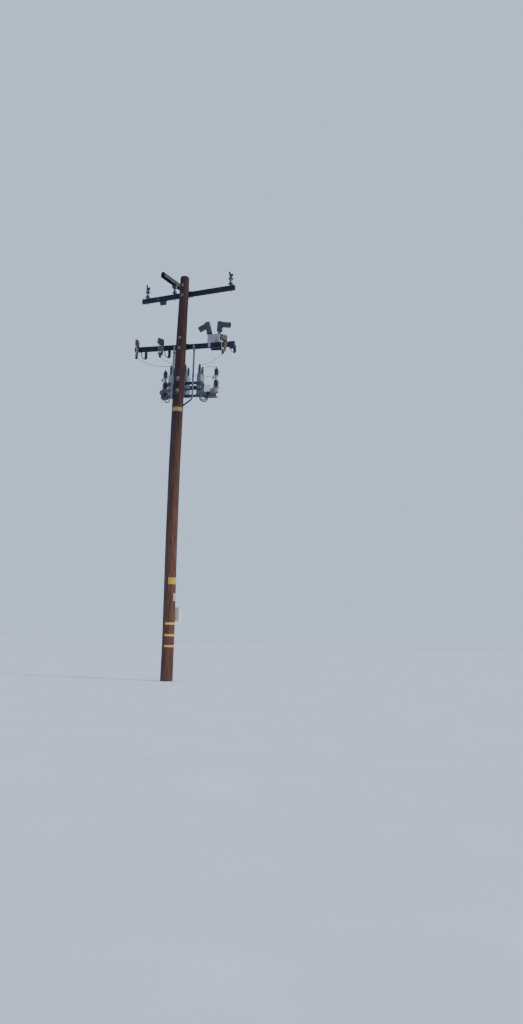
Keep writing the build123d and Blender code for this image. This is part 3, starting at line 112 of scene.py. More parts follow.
PLATE, TAG, BAND = (2.600, 2.782), (2.146, 2.362), (7.488, 7.610)
CLAMP_Z, COVER_Z = LINE_Z + ARM_HALF + 0.282, LINE_Z + ARM_HALF + 0.298
CLAMPS = ((0.162 - ARM_LONG / 2, 62), (ARM_LONG / 2 - 0.134, 0))
COVER_ALONG, COVER_TURN = -0.440, math.radians(14)

# Zones of paint, in metres
DARK_TOP_SPAN, SPLASHED = (7.9, 3.2), (0.5, 0.0)
HOOD_LEVEL, RIGHT_HOOD = (9.0, 9.8), (1.11, 1.37)
TANK_RIGHT_X, TANK_LEFT_X, TANK_LOWER_DARK = (0.37, 0.54), (-0.50, -0.33), (8.44, 8.30)
BOX_X, BOX_Z, DRUM_Z = (0.62, 0.82), (8.16, 8.37), (8.09, 8.32)


def trunk(height):
    """The trunk's radius and middle at a height."""
    for low, high in zip(STATIONS, STATIONS[1:]):
        if low[0] <= height <= high[0]:
            share = (height - low[0]) / (high[0] - low[0])
            return low[1] + share * (high[1] - low[1]), low[2] + share * (high[2] - low[2])
    return STATIONS[-1][1:]


def on_line_arm(along, out, height):
    """Point in the line arm's own frame: along it, out from the trunk, above the ground."""
    return Vector((along * math.cos(YAW) + out * math.sin(YAW),
                   out * math.cos(YAW) - along * math.sin(YAW), height))


def at_cutout(number, side, out, height):
    """Point in a cutout's own frame: sideways, out from the arm, above the arm's middle."""
    x, turn = CUTOUTS[number]
    turn = math.radians(turn)
    return Vector((x + side * math.cos(turn) + out * math.sin(turn),
                   ARM_FRONT + side * math.sin(turn) - out * math.cos(turn), EQUIP_Z + height))


# Materials
ACROSS, BACK, UP = range(3)


class Paint:
    """One procedural material while it is being made."""

    SOFT = 0.002  # half the blurred edge of a painted zone, in metres

    def __init__(self, name, rough=0.6, metal=0.0, spec=0.5, coat=0.0):
        self.material = bpy.data.materials.new(name)
        self.material.use_nodes = True
        self.tree = self.material.node_tree
        self.shader = self.tree.nodes["Principled BSDF"]
        self.shader.inputs["Roughness"].default_value = rough
        self.shader.inputs["Metallic"].default_value = metal
        self.shader.inputs["Specular IOR Level"].default_value = spec
        self.shader.inputs["Coat Weight"].default_value = coat
        self.shader.inputs["Coat Roughness"].default_value = 0.15
        self.place = self.add("ShaderNodeTexCoord").outputs["Object"]

    def add(self, kind, **values):
        node = self.tree.nodes.new(kind)
        for key, value in values.items():
            setattr(node, key, value)
        return node

    def feed(self, socket, value):
        if isinstance(value, bpy.types.NodeSocket):
            self.tree.links.new(value, socket)
        else:
            socket.default_value = value

    def stretch(self, scale, shift=(0, 0, 0)):
        node = self.add("ShaderNodeMapping")
        self.feed(node.inputs["Vector"], self.place)
        node.inputs["Scale"].default_value = scale
        node.inputs["Location"].default_value = shift
        return node.outputs[0]

    def noise(self, scale, detail=4.0, rough=0.55, twist=0.0, shift=(0, 0, 0)):
        node = self.add("ShaderNodeTexNoise")
        self.feed(node.inputs["Vector"], self.stretch(scale, shift))
        node.inputs["Scale"].default_value = 1.0
        node.inputs["Detail"].default_value = detail
        node.inputs["Roughness"].default_value = rough
        node.inputs["Distortion"].default_value = twist
        return node.outputs[0]

    def rings(self, axis, scale, shift):
        """Growth rings seen on a sawn end."""
        node = self.add("ShaderNodeTexWave", wave_type="RINGS", rings_direction=axis)
        self.feed(node.inputs["Vector"], self.stretch((1, 1, 1), shift))
        node.inputs["Scale"].default_value = scale
        node.inputs["Distortion"].default_value = 1.5
        node.inputs["Detail"].default_value = 3
        return node.outputs[0]

    def cells(self, scale, shift=(0, 0, 0)):
        """Distance to the nearest cell's middle, and one colour for each cell."""
        node = self.add("ShaderNodeTexVoronoi", feature="F1")
        self.feed(node.inputs["Vector"], self.stretch(scale, shift))
        node.inputs["Scale"].default_value = 1.0
        return node.outputs["Distance"], node.outputs["Color"]

    def ramp(self, value, *stops):
        node = self.add("ShaderNodeValToRGB")
        self.feed(node.inputs[0], value)
        bar = node.color_ramp
        while len(bar.elements) < len(stops):
            bar.elements.new(0.5)
        for element, (spot, colour) in zip(bar.elements, stops):
            element.position = spot
            element.color = (*colour, 1) if isinstance(colour, tuple) else (colour, colour, colour, 1)
        return node.outputs[0]

    def sum(self, kind, a, b=0.5):
        node = self.add("ShaderNodeMath", operation=kind)
        self.feed(node.inputs[0], a)
        self.feed(node.inputs[1], b)
        return node.outputs[0]

    def times(self, *values):
        """Product of two or more values."""
        product = values[0]
        for value in values[1:]:
            product = self.sum("MULTIPLY", product, value)
        return product

    def plus(self, a, b):
        return self.sum("ADD", a, b)

    def mix(self, share, a, b):
        node = self.add("ShaderNodeMix", data_type="RGBA")
        self.feed(node.inputs[0], share)
        self.feed(node.inputs[6], (*a, 1) if isinstance(a, tuple) else a)
        self.feed(node.inputs[7], (*b, 1) if isinstance(b, tuple) else b)
        return node.outputs[2]

    def spread(self, vector, which, low, high):
        """0 to 1 as one part of a vector goes from low to high."""
        split = self.add("ShaderNodeSeparateXYZ")
        self.feed(split.inputs[0], vector)
        node = self.add("ShaderNodeMapRange")
        self.feed(node.inputs[0], split.outputs[which])
        node.inputs[1].default_value = low
        node.inputs[2].default_value = high
        return node.outputs[0]

    def axis(self, which, low, high):
        """0 to 1 along one world axis, between two places in metres."""
        return self.spread(self.place, which, low, high)

    def between(self, which, low, high):
        """1 inside a range along one world axis and 0 outside it."""
        rise = self.axis(which, low - self.SOFT, low + self.SOFT)
        fall = self.axis(which, high + self.SOFT, high - self.SOFT)
        return self.times(rise, fall)

    def facing(self, which, low, high):
        """0 to 1 as the surface's normal turns along one world axis."""
        return self.spread(self.add("ShaderNodeNewGeometry").outputs["Normal"], which, low, high)

    def done(self, colour=None, rough=None, height=None, depth=0.001, strength=0.6):
        if colour is not None:
            self.feed(self.shader.inputs["Base Color"], colour)
        if rough is not None:
            self.feed(self.shader.inputs["Roughness"], rough)
        if height is not None:
            bump = self.add("ShaderNodeBump")
            bump.inputs["Strength"].default_value = strength
            bump.inputs["Distance"].default_value = depth
            self.feed(bump.inputs["Height"], height)
            self.feed(self.shader.inputs["Normal"], bump.outputs[0])
        return self.material


def wood_pole():
    """Treated trunk: dark and purplish aloft, red-brown below, with checks and knots; warm painted light on
    the side towards +X and painted shade on the side towards −X.
    """
    p = Paint("treated_wood", 0.8, spec=0.25)
    grain = p.noise((60, 60, 1.3), 6, 0.7, 0.3)
    fine = p.noise((220, 220, 6), 3, 0.6)
    broad = p.noise((6, 6, 0.45), 4, 0.6, 0.5)
    patch = p.noise((3.5, 3.5, 1.1), 3, 0.55, shift=(4, 2, 7))
    aloft = p.ramp(grain, (0.28, (0.012, 0.008, 0.010)), (0.5, (0.034, 0.017, 0.017)),
                   (0.74, (0.066, 0.034, 0.032)))
    below = p.ramp(grain, (0.28, (0.036, 0.017, 0.013)), (0.5, (0.118, 0.050, 0.034)),
                   (0.74, (0.215, 0.108, 0.072)))
    # the trunk darker and purplish towards the top, red-brown lower down
    lower_share = p.axis(UP, *DARK_TOP_SPAN)
    base = p.mix(lower_share, aloft, below)
    red = p.mix(lower_share, p.ramp(grain, (0.3, (0.020, 0.009, 0.010)), (0.7, (0.072, 0.026, 0.024))),
                p.ramp(grain, (0.3, (0.055, 0.019, 0.014)), (0.7, (0.210, 0.078, 0.050))))
    tone = p.mix(p.ramp(broad, (0.38, 0.0), (0.66, 0.85)), base, red)
    grey = p.mix(lower_share, p.ramp(grain, (0.3, (0.012, 0.013, 0.020)), (0.7, (0.048, 0.046, 0.060))),
                 p.ramp(grain, (0.3, (0.026, 0.022, 0.032)), (0.7, (0.105, 0.084, 0.098))))
    tone = p.mix(p.ramp(patch, (0.45, 0.0), (0.75, 0.5)), tone, grey)
    # painted light: the side towards +X turns warmer and redder, as if sunlit
    lit_side_tone = p.mix(lower_share, p.ramp(grain, (0.3, (0.026, 0.010, 0.007)), (0.7, (0.120, 0.044, 0.028))),
                 p.ramp(grain, (0.3, (0.060, 0.024, 0.014)), (0.7, (0.270, 0.115, 0.064))))
    tone = p.mix(p.times(p.facing(ACROSS, -0.55, 0.55), 0.65), tone, lit_side_tone)
    # painted shade: the side towards −X turns grey-violet
    tone = p.mix(p.times(p.facing(ACROSS, 0.05, -0.85), 0.75), tone, grey)
    check = p.sum("ABSOLUTE", p.sum("SUBTRACT", p.noise((26, 26, 0.5), 3, 0.5, 0.2, (9, 5, 2)), 0.5))
    crack = p.ramp(check, (0.006, 1.0), (0.016, 0.0))
    knots, _ = p.cells((3.1, 3.1, 1.35), shift=(0.4, 1.3, 0.2))
    knot = p.ramp(knots, (0.045, 1.0), (0.10, 0.0))
    tone = p.mix(p.times(crack, 0.85), tone, (0.006, 0.005, 0.006))
    tone = p.mix(p.times(knot, 0.7), tone, (0.012, 0.008, 0.007))
    run = p.times(p.between(ACROSS, -0.13, 0.03), p.times(p.axis(UP, 7.70, 8.0), p.axis(UP, 8.46, 8.40)))
    run = p.times(run, p.times(p.axis(BACK, -0.09, -0.11), p.ramp(grain, (0.35, 0.35), (0.6, 0.8))))
    tone = p.mix(run, tone, (0.012, 0.010, 0.011))
    rub = p.times(p.axis(UP, 7.80, 7.61), p.axis(UP, 7.38, 7.49))
    tone = p.mix(p.times(rub, p.ramp(fine, (0.4, 0.2), (0.7, 0.7))), tone, (0.062, 0.036, 0.018))
    splash = p.times(p.axis(UP, *SPLASHED), p.ramp(p.noise((9, 9, 14), 4), (0.35, 0.1), (0.7, 0.9)))
    tone = p.mix(p.times(splash, 0.6), tone, (0.085, 0.058, 0.045))
    sawn = p.ramp(p.rings("Z", 26, (0.005, 0, 0)), (0.2, (0.040, 0.030, 0.026)), (0.8, (0.125, 0.098, 0.078)))
    tone = p.mix(p.times(p.facing(UP, 0.75, 0.95), p.axis(UP, 11.40, 11.45)), tone, sawn)
    tall = p.sum("SUBTRACT", p.plus(grain, p.times(fine, 0.35)), p.times(crack, 0.9))
    return p.done(tone, p.ramp(grain, (0.3, 0.62), (0.7, 0.9)), tall, 0.006, 0.7)


def wood_arm():
    p = Paint("arm_wood", 0.75, spec=0.3)
    grain = p.noise((1.6, 70, 70), 6, 0.7, 0.3)
    broad = p.noise((0.9, 9, 9), 3, 0.6)
    tone = p.ramp(grain, (0.28, (0.004, 0.005, 0.009)), (0.52, (0.013, 0.015, 0.027)),
                  (0.78, (0.040, 0.043, 0.062)))
    tone = p.mix(p.ramp(broad, (0.5, 0.0), (0.75, 0.4)), tone, (0.030, 0.018, 0.020))
    check = p.sum("ABSOLUTE", p.sum("SUBTRACT", p.noise((0.8, 34, 34), 3, 0.5, 0.2), 0.5))
    crack = p.ramp(check, (0.006, 1.0), (0.018, 0.0))
    tone = p.mix(crack, tone, (0.002, 0.002, 0.003))
    tone = p.mix(p.times(p.facing(UP, 0.5, 1.0), 0.5), tone, (0.080, 0.078, 0.080))
    years = p.rings("X", 34, (0, -0.16, -9.47))
    sawn = p.ramp(years, (0.2, (0.020, 0.018, 0.020)), (0.8, (0.075, 0.062, 0.056)))
    ends = p.sum("MAXIMUM", p.facing(ACROSS, 0.80, 0.92), p.facing(ACROSS, -0.80, -0.92))
    tone = p.mix(ends, tone, sawn)
    return p.done(tone, p.ramp(grain, (0.3, 0.6), (0.7, 0.85)), p.sum("SUBTRACT", grain, crack), 0.004, 0.7)


def zinc(name, low, high, rust=0.35, rough=0.5, metal=0.55, dusty=False):
    """Galvanised steel: spangle, white bloom and some rust in the lows; pieces in front of the trunk turn
    tan, with painted shade on their lower and left parts.
    """
    p = Paint(name, rough, metal)
    _, spangle = p.cells((70, 70, 70))
    bloom = p.noise((9, 9, 9), 5, 0.6)
    streak = p.noise((16, 16, 2.2), 5, 0.65, shift=(3, 1, 5))
    grey = p.mix(p.ramp(spangle, (0.1, 0.0), (0.9, 1.0)), low, high)
    tone = p.mix(p.ramp(bloom, (0.4, 0.0), (0.7, 0.7)), grey, tuple(min(1, 1.35 * c) for c in high))
    tone = p.mix(p.times(p.ramp(streak, (0.56, 0.0), (0.74, 1.0)), rust), tone, (0.085, 0.040, 0.020))
    trunk = p.axis(BACK, -0.13, -0.14)
    tone = p.mix(p.times(trunk, 0.6), tone, (0.215, 0.185, 0.160))
    # painted shade on the lower and left parts of the pieces in front of the trunk
    lower = p.sum("MAXIMUM", p.axis(UP, 8.070, 8.030), p.between(UP, 8.34, 8.415))
    lower = p.sum("MAXIMUM", lower, p.axis(ACROSS, -0.020, -0.050))
    washer_painted_shade = p.times(p.times(lower, trunk), p.ramp(bloom, (0.3, 0.95), (0.7, 0.45)))
    tone = p.mix(washer_painted_shade, tone, (0.030, 0.024, 0.022))
    if dusty:
        web = p.times(p.between(UP, 8.056, 8.178), p.axis(ACROSS, 0.57, 0.59))
        dust = p.ramp(p.noise((13, 13, 18), 3, 0.5), (0.4, 0.25), (0.55, 0.95))
        tone = p.mix(p.times(web, dust), tone, (0.165, 0.145, 0.125))
    gloss = p.ramp(bloom, (0.3, rough - 0.12), (0.7, rough + 0.2))
    return p.done(tone, gloss, p.plus(bloom, streak), 0.0015, 0.5)


def glaze():
    p = Paint("dark_glaze", 0.16, spec=0.6, coat=0.35)
    cloud = p.noise((7, 7, 7), 4, 0.6)
    fleck = p.noise((160, 160, 160), 2, 0.5)
    slate = p.ramp(cloud, (0.35, (0.020, 0.033, 0.050)), (0.7, (0.058, 0.083, 0.110)))
    brown = p.ramp(cloud, (0.35, (0.075, 0.062, 0.062)), (0.7, (0.170, 0.145, 0.142)))
    # brown glaze on the middle tank's near bushing and the right tank's far one
    middle = p.times(p.axis(ACROSS, -0.099, -0.098), p.axis(ACROSS, 0.131, 0.130))
    middle = p.times(middle, p.axis(BACK, 0.431, 0.430))
    right = p.times(p.axis(ACROSS, 0.369, 0.370), p.axis(ACROSS, 0.531, 0.530))
    right = p.times(right, p.axis(BACK, 0.529, 0.530))
    odd = p.times(p.sum("MAXIMUM", middle, right), p.axis(UP, 10.0, 9.9))
    switches = p.sum("SUBTRACT", 1.0, p.between(ACROSS, -0.53, 0.80))
    slate = p.mix(p.times(switches, p.axis(UP, 9.5, 9.4)), slate,
                  p.ramp(cloud, (0.35, (0.007, 0.011, 0.020)), (0.7, (0.026, 0.036, 0.055))))
    tone = p.mix(odd, slate, brown)
    tone = p.mix(p.ramp(fleck, (0.62, 0.0), (0.72, 0.35)), tone, (0.01, 0.01, 0.012))
    dust = p.times(p.facing(UP, 0.35, 1.0), p.ramp(p.noise((30, 30, 30), 4), (0.35, 0.1), (0.7, 0.55)))
    tone = p.mix(dust, tone, (0.17, 0.16, 0.15))
    gloss = p.mix(dust, (0.16, 0.16, 0.16), (0.75, 0.75, 0.75))
    return p.done(tone, gloss, p.plus(cloud, fleck), 0.0008, 0.3)


def polymer():
    p = Paint("grey_polymer", 0.55)
    cloud = p.noise((11, 11, 11), 4, 0.6)
    streak = p.noise((50, 50, 4), 4, 0.6)
    grey = p.ramp(cloud, (0.35, (0.130, 0.132, 0.140)), (0.7, (0.225, 0.225, 0.235)))
    brown = p.ramp(cloud, (0.35, (0.120, 0.082, 0.062)), (0.7, (0.270, 0.192, 0.148)))
    odd = p.times(p.axis(ACROSS, 1.150, 1.160), p.axis(UP, 9.85, 9.84))
    tone = p.mix(odd, grey, brown)
    tone = p.mix(p.ramp(streak, (0.55, 0.0), (0.75, 0.5)), tone, (0.050, 0.048, 0.048))
    dust = p.times(p.facing(UP, 0.35, 1.0), 0.4)
    tone = p.mix(dust, tone, (0.26, 0.25, 0.24))
    return p.done(tone, p.ramp(cloud, (0.3, 0.42), (0.7, 0.68)), p.plus(cloud, streak), 0.001, 0.4)


def moulding():
    """Dark moulded covers, chalked by the sun on top, with painted shade on the hoods."""
    p = Paint("black_cover", 0.5)
    cloud = p.noise((8, 8, 8), 5, 0.6, 0.4)
    grain = p.noise((260, 260, 260), 2, 0.5)
    tone = p.ramp(cloud, (0.32, (0.010, 0.012, 0.019)), (0.72, (0.032, 0.036, 0.050)))
    chalk = p.times(p.facing(UP, 0.1, 1.0), p.ramp(cloud, (0.3, 0.25), (0.7, 0.6)))
    # painted shade: less chalk at the hoods' level
    chalk = p.times(chalk, p.mix(p.between(UP, *HOOD_LEVEL), (1.0, 1.0, 1.0), (0.35, 0.35, 0.35)))
    tone = p.mix(chalk, tone, (0.080, 0.084, 0.098))
    # painted shade: the hoods left of the middle darkened further
    shaded_hoods = p.times(p.between(UP, *HOOD_LEVEL), p.axis(ACROSS, 0.01, 0.0))
    tone = p.mix(p.times(shaded_hoods, 0.6), tone, (0.004, 0.006, 0.011))
    olive = p.ramp(cloud, (0.3, (0.034, 0.033, 0.026)), (0.7, (0.080, 0.074, 0.056)))
    hood = p.times(p.between(UP, 9.55, 9.82), p.between(ACROSS, *RIGHT_HOOD))
    tone = p.mix(p.times(hood, 0.85), tone, olive)
    elbows = p.times(p.between(UP, 9.88, 10.6), p.axis(ACROSS, 0.4, 0.41))
    slate = p.ramp(cloud, (0.3, (0.022, 0.026, 0.040)), (0.7, (0.046, 0.052, 0.072)))
    tone = p.mix(p.times(elbows, 0.75), tone, slate)
    drip = p.ramp(p.noise((42, 42, 2.5), 4, 0.6), (0.6, 0.0), (0.78, 0.35))
    tone = p.mix(drip, tone, (0.085, 0.080, 0.078))
    bumps = p.plus(cloud, p.times(grain, 0.3))
    return p.done(tone, p.ramp(cloud, (0.3, 0.38), (0.7, 0.62)), bumps, 0.0012, 0.4)


def enamel():
    """Grey enamel with run-off stains and chips; the cabinet near the ground is paler, the left drum darker
    and the right one tan, and painted shade lies on the right tank's front face.
    """
    p = Paint("grey_paint", 0.42, coat=0.08)
    cloud = p.noise((3.5, 3.5, 2.2), 4, 0.6)
    runs = p.noise((38, 38, 1.6), 5, 0.65, 0.2)
    speck = p.noise((95, 95, 95), 3, 0.55)
    tone = p.ramp(cloud, (0.35, (0.245, 0.236, 0.268)), (0.68, (0.355, 0.345, 0.378)))
    pale = p.ramp(cloud, (0.35, (0.800, 0.740, 0.620)), (0.68, (0.960, 0.900, 0.780)))
    tone = p.mix(p.axis(UP, 2.3, 2.2), tone, pale)
    tone = p.mix(p.times(p.between(ACROSS, *BOX_X), p.between(UP, *BOX_Z)), tone, (0.660, 0.640, 0.690))
    # the left drum much darker and bluish, the right drum tan
    drum = p.times(p.axis(BACK, 0.368, 0.364), p.between(UP, *DRUM_Z))
    tone = p.mix(p.times(drum, p.axis(ACROSS, -0.54, -0.56)), tone, (0.050, 0.054, 0.075))
    tone = p.mix(p.times(drum, p.axis(ACROSS, 0.808, 0.812)), tone, (0.200, 0.165, 0.130))
    tone = p.mix(p.ramp(runs, (0.52, 0.0), (0.74, 0.55)), tone, (0.125, 0.115, 0.120))
    # painted shade on the right tank's front face
    front_shade_band = p.times(p.between(UP, 8.09, 8.73), p.between(BACK, 0.27, 0.30))
    front = p.times(p.facing(BACK, -0.7, -0.95), front_shade_band)
    front = p.times(front, p.between(ACROSS, *TANK_RIGHT_X))
    blue = p.ramp(cloud, (0.3, (0.060, 0.070, 0.115)), (0.7, (0.105, 0.115, 0.170)))
    tone = p.mix(p.times(front, 0.8), tone, blue)
    # the tanks' lower parts darker towards the bottom: brownish on the right tank, bluish on the left
    low = p.times(p.axis(UP, *TANK_LOWER_DARK), p.between(ACROSS, *TANK_RIGHT_X))
    tone = p.mix(p.times(low, p.ramp(runs, (0.35, 0.6), (0.65, 0.95))), tone, (0.085, 0.064, 0.058))
    low = p.times(p.axis(UP, *TANK_LOWER_DARK), p.between(ACROSS, *TANK_LEFT_X))
    tone = p.mix(p.times(low, p.ramp(runs, (0.35, 0.5), (0.65, 0.9))), tone, (0.100, 0.094, 0.128))
    tone = p.mix(p.ramp(speck, (0.66, 0.0), (0.74, 0.8)), tone, (0.090, 0.048, 0.030))
    dust = p.times(p.facing(UP, 0.5, 1.0), 0.45)
    tone = p.mix(dust, tone, (0.240, 0.225, 0.210))
    return p.done(tone, p.ramp(runs, (0.3, 0.34), (0.7, 0.6)), p.plus(cloud, p.times(speck, 0.4)), 0.001, 0.4)


def sheet(name, pale, deep, stain, speckle):
    """Thin coloured sheet nailed to the trunk, stained and dented."""
    p = Paint(name, 0.45)
    cloud = p.noise((14, 14, 14), 4, 0.6)
    spots = p.noise((70, 70, 70), 3, 0.6, 0.6)
    tone = p.mix(p.ramp(cloud, (0.35, 0.0), (0.7, 1.0)), deep, pale)
    tone = p.mix(p.times(p.axis(UP, 1.75, 1.70), 0.75), tone, (0.900, 0.500, 0.120))
    tone = p.mix(p.ramp(spots, (0.5, 0.0), (0.66, speckle)), tone, stain)
    runs = p.noise((60, 60, 5), 4, 0.6)
    tone = p.mix(p.ramp(runs, (0.56, 0.0), (0.76, 0.5)), tone, tuple(0.4 * c for c in stain))
    return p.done(tone, p.ramp(cloud, (0.3, 0.3), (0.7, 0.6)), p.plus(cloud, spots), 0.002, 0.5)


def bronze():
    p = Paint("bronze", 0.45, 0.5)
    cloud = p.noise((26, 26, 26), 5, 0.6)
    tone = p.ramp(cloud, (0.32, (0.050, 0.044, 0.038)), (0.55, (0.120, 0.108, 0.090)),
                  (0.75, (0.240, 0.225, 0.195)))
    green = p.ramp(p.noise((40, 40, 12), 4), (0.6, 0.0), (0.75, 0.5))
    tone = p.mix(green, tone, (0.120, 0.150, 0.120))
    return p.done(tone, p.ramp(cloud, (0.3, 0.3), (0.7, 0.6)), cloud, 0.001, 0.4)


def fibre():
    p = Paint("fibre_tube", 0.5)
    wound = p.noise((90, 90, 300), 3, 0.5)
    cloud = p.noise((20, 20, 5), 4, 0.6)
    tone = p.ramp(cloud, (0.35, (0.150, 0.150, 0.160)), (0.7, (0.270, 0.265, 0.260)))
    tone = p.mix(p.ramp(wound, (0.5, 0.0), (0.7, 0.35)), tone, (0.140, 0.135, 0.130))
    return p.done(tone, p.ramp(cloud, (0.3, 0.4), (0.7, 0.65)), wound, 0.0006, 0.4)


def conduit():
    p = Paint("grey_conduit", 0.5)
    cloud = p.noise((14, 14, 1.1), 5, 0.6)
    fine = p.noise((90, 90, 9), 3, 0.6)
    tone = p.ramp(cloud, (0.35, (0.062, 0.076, 0.100)), (0.68, (0.150, 0.170, 0.205)))
    riser = p.times(p.axis(ACROSS, -0.15, -0.16), p.axis(UP, 7.5, 7.6))
    # the riser is pale grey, with painted shade on its side towards −X
    pale = p.mix(p.facing(ACROSS, -0.15, -0.45), (0.270, 0.235, 0.270), (0.022, 0.024, 0.040))
    tone = p.mix(riser, tone, pale)
    tone = p.mix(p.ramp(fine, (0.56, 0.0), (0.76, 0.5)), tone, (0.040, 0.040, 0.045))
    return p.done(tone, p.ramp(cloud, (0.3, 0.38), (0.7, 0.65)), p.plus(cloud, fine), 0.001, 0.4)


def jacket():
    p = Paint("cable_black", 0.5)
    cloud = p.noise((30, 30, 30), 4, 0.6)
    scuff = p.noise((140, 140, 140), 3, 0.6)
    tone = p.ramp(cloud, (0.35, (0.012, 0.012, 0.015)), (0.7, (0.038, 0.036, 0.040)))
    tone = p.mix(p.ramp(scuff, (0.6, 0.0), (0.75, 0.4)), tone, (0.120, 0.110, 0.105))
    return p.done(tone, p.ramp(scuff, (0.3, 0.4), (0.7, 0.68)), scuff, 0.0008, 0.4)


SLOTS = {
    "treated_wood": wood_pole(),
    "arm_wood": wood_arm(),
    "galvanised": zinc("galvanised", (0.085, 0.088, 0.098), (0.175, 0.172, 0.170), 0.5, 0.55, 0.35),
    "dark_glaze": glaze(),
    "grey_polymer": polymer(),
    "black_cover": moulding(),
    "grey_paint": enamel(),
    "yellow_sheet": sheet("yellow_sheet", (0.68, 0.46, 0.055), (0.50, 0.32, 0.030), (0.17, 0.11, 0.035), 0.5),
    "tan_sheet": sheet("tan_sheet", (0.40, 0.26, 0.095), (0.25, 0.15, 0.05), (0.09, 0.055, 0.03), 0.5),
    "pale_sheet": sheet("pale_sheet", (0.62, 0.56, 0.33), (0.46, 0.40, 0.22), (0.16, 0.12, 0.07), 0.45),
    "bronze": bronze(),
    "fibre_tube": fibre(),
    "grey_conduit": conduit(),
    "cable_black": jacket(),
    "aluminium_rack": zinc("aluminium_rack", (0.018, 0.022, 0.036), (0.048, 0.054, 0.074), 0.4, 0.5, 0.3,
                           dusty=True),
    "dark_steel": zinc("dark_steel", (0.012, 0.013, 0.019), (0.028, 0.029, 0.038), 0.3, 0.55, 0.25),
}
for part in frame["record"]["subparts"]:
    node = bpy.data.objects[part["node"]]
    node.data.materials.clear()
    node.data.materials.append(SLOTS[part["material_slot"]])


# Small pieces
class Shape:
    """Small solids gathered into one mesh."""

    SHARP = math.radians(38)  # edges that turn more than this stay crisp

    def __init__(self):
        self.mesh = bmesh.new()

    def ring(self, middle, lean, side, radius, sides):
        """Corners of a round section across a direction."""
        other = lean.cross(side)
        return [self.mesh.verts.new(middle + (side * math.cos(a) + other * math.sin(a)) * radius)
                for a in (2 * math.pi * k / sides for k in range(sides))]

    def skin(self, rings, closed=False):
        """Faces from each ring to the next, with flat ends unless the rings close on themselves."""
        sides = len(rings[0])
        pairs = list(zip(rings, rings[1:])) + ([(rings[-1], rings[0])] if closed else [])
        for low, high in pairs:
            for k in range(sides):
                self.mesh.faces.new((low[k], low[(k + 1) % sides], high[(k + 1) % sides], high[k]))
        if not closed:
            self.mesh.faces.new(list(reversed(rings[0])))
            self.mesh.faces.new(rings[-1])

    def lathe(self, profile, base, up=(0, 0, 1), sides=14):
        """Turned solid from its radii and heights, standing on a base along a direction."""
        lean = Vector(up).normalized()
        side = lean.orthogonal().normalized()
        self.skin([self.ring(Vector(base) + lean * height, lean, side, radius, sides)
                   for radius, height in profile])

    def slab(self, middle, size, axes=None, edge=0.0015):
        """Box with softened edges, its sides along the axes given as three directions."""
        turn = Matrix([Vector(a).normalized() for a in axes]).transposed().to_4x4() if axes else Matrix()
        move = Matrix.Translation(Vector(middle)) @ turn @ Matrix.Diagonal((*size, 1))
        made = bmesh.ops.create_cube(self.mesh, size=1, matrix=move)["verts"]
        edges = list(dict.fromkeys(e for v in made for e in v.link_edges))
        bmesh.ops.bevel(self.mesh, geom=edges, offset=edge, segments=1, affect="EDGES")

    def bolt(self, spot, axis, size=0.009, washer=True, stud=0.0):
        """Hexagon head with a round washer under it, and a stud's end if wanted."""
        spot, axis = Vector(spot), Vector(axis).normalized()
        if washer:
            self.lathe(((size * 1.5, 0), (size * 1.6, 0.0008), (size * 1.5, 0.0024)), spot, axis)
            spot = spot + axis * 0.002
        self.lathe(((size, 0), (size, size * 0.62), (size * 0.84, size * 0.78)), spot, axis, 6)
        if stud:
            self.lathe(((size * 0.5, 0), (size * 0.5, stud - 0.001), (size * 0.38, stud)), spot, axis, 10)

    def nail(self, spot, axis, size=0.005):
        """Low domed nail head."""
        self.lathe(((size, 0), (size * 0.9, 0.0012), (size * 0.3, 0.0020)), spot, axis, 10)

    def wire(self, points, radius, sides=8, closed=False):
        """Round bar that follows points."""
        points = [Vector(p) for p in points]
        rings = []
        count = len(points)
        for i, point in enumerate(points):
            before = points[i - 1] if i or closed else point
            after = points[(i + 1) % count] if i < count - 1 or closed else point
            lean = (after - before).normalized()
            side = lean.cross(Vector((0.3, 0.5, 0.81))).normalized()
            rings.append(self.ring(point, lean, side, radius, sides))
        self.skin(rings, closed)

    def tube(self, spots, sides=14):
        """Ribbed skin round a list of (point, radius)."""
        rings = []
        for i, (point, radius) in enumerate(spots):
            lean = (spots[min(i + 1, len(spots) - 1)][0] - spots[max(i - 1, 0)][0]).normalized()
            side = lean.cross(Vector((0.1, 0.99, 0.1))).normalized()
            rings.append(self.ring(point, lean, side, radius, sides))
        self.skin(rings)

    def make(self, name, body, slot):
        """Turn what was gathered into one named piece that rides on a body."""
        bmesh.ops.recalc_face_normals(self.mesh, faces=self.mesh.faces[:])
        data = bpy.data.meshes.new(name)
        self.mesh.to_mesh(data)
        self.mesh.free()
        for face in data.polygons:
            face.use_smooth = True
        data.set_sharp_from_angle(angle=self.SHARP)
        data.materials.append(SLOTS[slot])
        piece = bpy.data.objects.new(name, data)
        scene.collection.objects.link(piece)
        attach(piece, body)
        return piece


# Cords
def hanging(start, end, drop, count):
    """Points of a wire that sags between two ends, by a parabola's formula."""
    points = []
    for i in range(count + 1):
        share = i / count
        point = Vector(start).lerp(Vector(end), share)
        point.z -= drop * 4 * share * (1 - share)
        points.append(point)
    return points


def lead_route(start, foot, straight):
    """Points of a lead that drops straight and then curves in under an arrester's foot."""
    points = [Vector(start)]
    low = start[2] - straight
    for step in range(6):
        turn = math.pi / 2 * step / 5
        points.append(Vector((start[0] + (foot[0] - start[0]) * (1 - math.cos(turn)),
                              start[1] + (foot[1] - start[1]) * (1 - math.cos(turn)),
                              low - (low - foot[2]) * math.sin(turn))))
    return points


SLEEVE_START, SLEEVE_STEP, SLEEVE_VALLEY, SLEEVE_RIDGE = 0.035, 0.004, 0.0150, 0.0172


